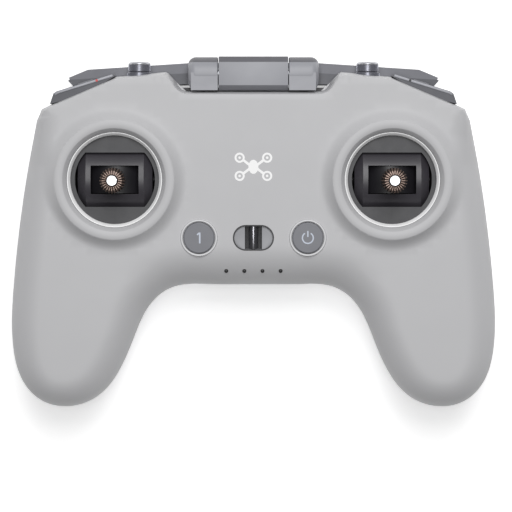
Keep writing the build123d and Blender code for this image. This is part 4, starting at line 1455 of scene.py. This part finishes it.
# ---------------------------------------------------------------- top side
@dataclass
class Lever:
    """Switch lever: knurled cap on a stem, and the collar it comes out of."""

    side: int
    node: str
    x: float = 44.2
    z: float = 27.5
    cap_high: float = 66.6
    cap_radius: float = 4.3
    stem_radius: float = 1.6
    ball_radius: float = 2.2
    seat_radius: float = 8.15
    gap: float = 0.25
    collar_radius: float = 4.8
    bore: float = 3.2
    collar_low: float = 60.6
    pivot: float = 55.5

    def _seat(self, radius: float, reach: float) -> list[Point]:
        """Arc about the pivot, from a distance off the axis in to the stem."""
        places = [reach + (self.stem_radius - reach) * i / 10 for i in range(11)]
        return [(r, self.pivot + math.sqrt(radius**2 - r**2)) for r in places]

    def cap(self) -> None:
        """Cap with a dished underside, its ribs, its stem and its domed end."""
        r, high = self.cap_radius, self.cap_high
        seat = self._seat(self.seat_radius + self.gap, r - 0.25)
        shoulder = high - 1.35
        profile = [*seat, (self.stem_radius, high - 1.2), (r - 0.9, high - 1.2), (r - 0.25, shoulder)]
        spot = axis_y(self.side * self.x, 0, self.z)
        stem = lathe(
            [(0, self.pivot), (self.stem_radius, self.pivot), (self.stem_radius, high - 1), (0, high - 1)], 40
        )
        ball = [
            (self.ball_radius * math.sin(a), self.pivot - self.ball_radius * math.cos(a))
            for a in (math.pi * i / 16 for i in range(17))
        ]
        solid = lathe(profile, 72).plus(stem).plus(lathe(ball, 40))
        make_piece(
            solid.placed(spot), Filing(f"{self.node}_lever", self.node, "steel", (self.node,)), Look.KNOB
        )
        low = seat[0][1] + 0.12
        rib = prism([[(r - 0.4, -0.17), (r, -0.1), (r, 0.1), (r - 0.4, 0.17)]], low, shoulder)
        ribs = RING.apply(f"{self.node}_ribs", rib, Look.KNOB, {"Count": 40, "First Turn": 0.0}, spot)
        finish_piece(ribs, Filing(f"{self.node}_ribs", self.node, "steel"), Look.KNOB)
        dome = [
            (0, shoulder + 0.1),
            (r - 0.1, shoulder + 0.1),
            (r, shoulder + 0.35),
            (r - 0.2, high - 0.5),
            (r - 0.9, high - 0.1),
            (0, high),
        ]
        smooth = [(0, shoulder + 0.1), *rounded(dome, 0.35)[1:-1], (0, high)]
        make_piece(
            lathe(smooth, 72).placed(spot), Filing(f"{self.node}_dome", self.node, "steel"), Look.KNOB_CAP
        )

    def collar(self) -> None:
        """Fixed collar round the stem, domed about the lever's pivot."""
        r = self.collar_radius
        spot = axis_y(self.side * self.x, 0, self.z)
        places = [r - 0.3 + (self.bore - r + 0.3) * i / 8 for i in range(9)]
        dome = [(d, self.pivot + math.sqrt(self.seat_radius**2 - d**2)) for d in places]
        profile = [(self.bore, self.collar_low), (r - 0.3, self.collar_low), *dome]
        nodes = ("switch_ferrules",) if self.side > 0 else ()
        name = f"{self.node}_collar"
        make_piece(lathe(profile, 72).placed(spot), Filing(name, "case", "steel", nodes), Look.KNOB)
        rib = prism(
            [[(r - 0.45, -0.2), (r, -0.12), (r, 0.12), (r - 0.45, 0.2)]], self.collar_low, dome[0][1] - 0.12
        )
        ribs = RING.apply(f"{name}_ribs", rib, Look.KNOB, {"Count": 44, "First Turn": 0.0}, spot)
        finish_piece(ribs, Filing(f"{name}_ribs", "case", "steel"), Look.KNOB)

    def build(self) -> None:
        """Make the lever and its collar."""
        self.cap()
        self.collar()


@dataclass
class Ledge:
    """Light rim and coloured dot along a shoulder ledge."""

    side: int
    name: str
    corners: tuple[Point, ...] = ((77.1, 54.2), (75.7, 55.05), (54.3, 61.65))
    rim: float = 1.0
    top: float = 32.5
    dot: tuple[float, float] = (60.4, 59.25)

    def build(self) -> None:
        """Make the rim and the dot."""
        edge = [Vector(c) for c in self.corners]
        inward = [Vector((-0.55, -0.84)), Vector((-0.41, -0.91)), Vector((-0.29, -0.957))]
        inner = [corner + way * self.rim for corner, way in zip(edge, inward)]
        outline = [tuple(c) for c in edge] + [tuple(c) for c in reversed(inner)]
        solid = prism([outline], self.top - 0.4, self.top + 0.3).mirrored(self.side)
        make_piece(solid, Filing(f"{self.name}_ledge_rim", "case", "graphite"), Look.RIM, 0.18)
        disc = prism([circle(*self.dot, 0.5, 24)], self.top + 0.1, self.top + 0.36).mirrored(self.side)
        look = Look.RED_INK if self.side < 0 else Look.DARK_MARK_AND_SHADE
        make_piece(disc, Filing(f"{self.name}_ledge_dot", "case", "graphite"), look)


@dataclass
class Hinge:
    """Fixed lugs with domed ends, and the faceted knuckle that turns between them."""

    y: float = 62.0
    z: float = 27.0
    lug_radius: float = 6.4
    lug_inner: float = 13.75
    lug_outer: float = 25.3
    dome: float = 3.0
    knuckle_radius: float = 6.5
    knuckle_half: float = 13.4
    bore: float = 2.05
    floor_y: float = 55.2
    neck: tuple[float, float, float, float] = (58.3, 66.4, 1.5, 22.0)
    foot: tuple[float, float] = (-6.3, 5.0)
    # Near-black sheet at the floor of each notch corner: painted shade.
    shade_sheet: tuple[Point, ...] = (
        (24.4, 55.35),
        (26.2, 55.45),
        (28.0, 56.15),
        (28.6, 56.75),
        (24.4, 56.75),
    )
    shade_sheet_z: tuple[float, float] = (20.05, 20.5)

    def lugs(self) -> None:
        """Both lugs with their feet on the shell."""
        r, low, high, dome = self.lug_radius, self.lug_inner, self.lug_outer, self.dome
        arc = [
            (r - dome + dome * math.cos(a), high - dome + dome * math.sin(a))
            for a in (math.pi * i / 20 for i in range(11))
        ]
        profile = [
            (self.bore, low),
            (r - 0.3, low),
            (r, low + 0.3),
            *arc,
            (0, high),
            (0, high - 0.4),
            (self.bore, high - 0.4),
        ]
        spot = axis_x(0, self.y, self.z)
        back = self.floor_y - self.y + 0.3
        under, over = self.foot
        foot = [(under, back), (over, back), (over, -1.0), (under, 0.3)]
        for side, name in ((-1, "left"), (1, "right")):
            solid = lathe(profile, 96).plus(prism([rounded(foot, 0.5)], low, high - 1.2))
            solid = solid.placed(spot).mirrored(side)
            make_piece(solid, Filing(f"{name}_lug", "case", "graphite", (f"{name}_hinge_lug",)), Look.LUG)

    def knuckle(self) -> None:
        """Barrel with a flat face and chamfers, on its neck."""
        r, half = self.knuckle_radius, self.knuckle_half
        outline = [
            (-r + 0.15, -4.6),
            (-r + 0.15, 4.4),
            (-4.4, r),
            (4.4, r),
            (r, 4.4),
            (r, -4.4),
            (4.4, -r),
            (-3.2, -r),
        ]
        barrel = [rounded(outline, 0.9), circle(0, 0, self.bore, 40)]
        solid = prism(barrel, -half, half).placed(axis_x(0, self.y, self.z))
        near, far, low, high = self.neck
        neck = prism([[(-half, near), (half, near), (half, far), (-half, far)]], low, high)
        filing = Filing("hinge_knuckle", "antenna", "graphite", ("antenna_knuckle",))
        make_piece(solid.plus(neck), filing, Look.LUG, 0.3)

    def build(self) -> None:
        """Make lugs and knuckle."""
        self.lugs()
        self.knuckle()
        # A near-black sheet at the floor of each hinge notch corner: painted shade of the recess.
        solid = prism([self.shade_sheet], *self.shade_sheet_z)
        solid = solid.plus(solid.mirrored(-1))
        make_piece(solid, Filing("hinge_bay_gasket", "case", "graphite"), Look.DARK_MARK_AND_SHADE)


# ---------------------------------------------------------------- carried pieces
CARRIED: dict[Look, tuple[str, ...]] = {
    Look.GIMBAL_PLATE: ("left_gimbal_plate", "right_gimbal_plate"),
    Look.DRUM: ("left_pitch_drum", "right_pitch_drum"),
    Look.INNER_DRUM: ("left_roll_drum", "right_roll_drum"),
    Look.STEEL: (
        "left_stick_shaft",
        "right_stick_shaft",
        "left_stick_nut",
        "right_stick_nut",
        "left_roll_axle",
        "right_roll_axle",
        "hinge_pin",
        "gimbal_bearings",
        "charge_port",
    ),
    Look.GRAPHITE: ("left_antenna_cover", "right_antenna_cover"),
    Look.GRAPHITE_DARK: (
        "left_antenna_housing",
        "right_antenna_housing",
        "left_shoulder_ledge",
        "right_shoulder_ledge",
        "storage_sleeves",
    ),
    Look.KEY: ("pause_button", "record_button"),
    Look.SCREW: ("housing_screws", "gimbal_screws", "board_screws"),
    Look.BOARD: ("main_board", "charge_board", "antenna_boards"),
    Look.BLACK: (
        "left_gimbal_housing",
        "right_gimbal_housing",
        "hall_sensors",
        "tact_switches",
        "switch_bodies",
        "shoulder_switches",
        "battery_cradle",
        "board_connectors",
        "buzzer",
    ),
    Look.CELL: ("battery_cells",),
    Look.CAN: ("shield_cans",),
}


def dress_carried() -> None:
    """Give every carried-over node its material."""
    for look, nodes in CARRIED.items():
        for name in nodes:
            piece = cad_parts[name]
            piece.data.materials.clear()
            piece.data.materials.append(material(look))
            LOG.info("%s: %s", name, look.value.name)


# ---------------------------------------------------------------- studio
@dataclass
class Studio:
    """Pale floor, soft lights and the camera."""

    tilt: float = 3.3
    distance: float = 0.8
    lens: float = 144.4
    glow: float = 0.4
    target: tuple[float, float, float] = (0.001, -0.0088, 0.028)

    def floor(self) -> None:
        """Seamless pale sheet under the object."""
        work = bmesh.new()
        bmesh.ops.create_grid(work, x_segments=8, y_segments=8, size=3.0)
        mesh = bpy.data.meshes.new("studio_floor")
        work.to_mesh(mesh)
        work.free()
        floor = add_object("studio_floor", mesh)
        floor.location.z = -0.0006
        paper = Finish("studio_paper", (250, 250, 250), 0.9, drift=0.002, drift_size=200, grain=0.001).build()
        shader = next(n for n in paper.node_tree.nodes if n.type == "BSDF_PRINCIPLED")
        shader.inputs["Emission Color"].default_value = (1, 1, 1, 1)
        shader.inputs["Emission Strength"].default_value = self.glow
        floor.data.materials.append(paper)

    def light(self, name: str, place: Sequence[float], size: float, power: float) -> None:
        """Square soft light aimed at the middle of the object."""
        data = bpy.data.lights.new(name, "AREA")
        data.size = size
        data.energy = power
        lamp = bpy.data.objects.new(name, data)
        lamp.location = place
        lamp.rotation_euler = (Vector(self.target) - Vector(place)).to_track_quat("-Z", "Y").to_euler()
        bpy.context.scene.collection.objects.link(lamp)

    def camera(self) -> None:
        """Camera almost straight over the face."""
        data = bpy.data.cameras.new("camera")
        data.sensor_width = 36
        data.lens = self.lens
        data.clip_end = 20
        camera = bpy.data.objects.new("camera", data)
        lean = math.radians(self.tilt)
        camera.location = Vector(self.target) + self.distance * Vector((0, math.sin(lean), math.cos(lean)))
        camera.rotation_euler = (-lean, 0, 0)
        bpy.context.scene.collection.objects.link(camera)
        bpy.context.scene.camera = camera

    def build(self) -> None:
        """Set the stage."""
        world = bpy.data.worlds.new("studio_world")
        world.use_nodes = True
        world.node_tree.nodes["Background"].inputs["Color"].default_value = (1, 1, 1, 1)
        world.node_tree.nodes["Background"].inputs["Strength"].default_value = 0.06
        bpy.context.scene.world = world
        bpy.context.scene.view_settings.view_transform = "Standard"
        self.floor()
        self.light("key", (0.08, 0.75, 1.25), 0.8, 13.0)
        self.light("front", (0.0, 0.10, 1.6), 0.5, 7.6)
        self.camera()


def main() -> None:
    """Build every sub-assembly in order and report it."""
    logging.basicConfig(level=logging.INFO, format="%(message)s")
    Studio().build()
    FrontShell().build()
    BackShell().build()
    for side, name in ((-1, "left"), (1, "right")):
        Gimbal(side, name).build()
    FaceButton(-1, "custom_button").build()
    FaceButton(1, "power_button").build()
    Emblem().build()
    LanyardCup().build()
    StatusLights().build()
    Lever(-1, "mode_switch").build()
    Lever(1, "option_switch").build()
    Ledge(-1, "record").build()
    Ledge(1, "pause").build()
    Hinge().build()
    dress_carried()


if __name__ == "__main__":
    main()
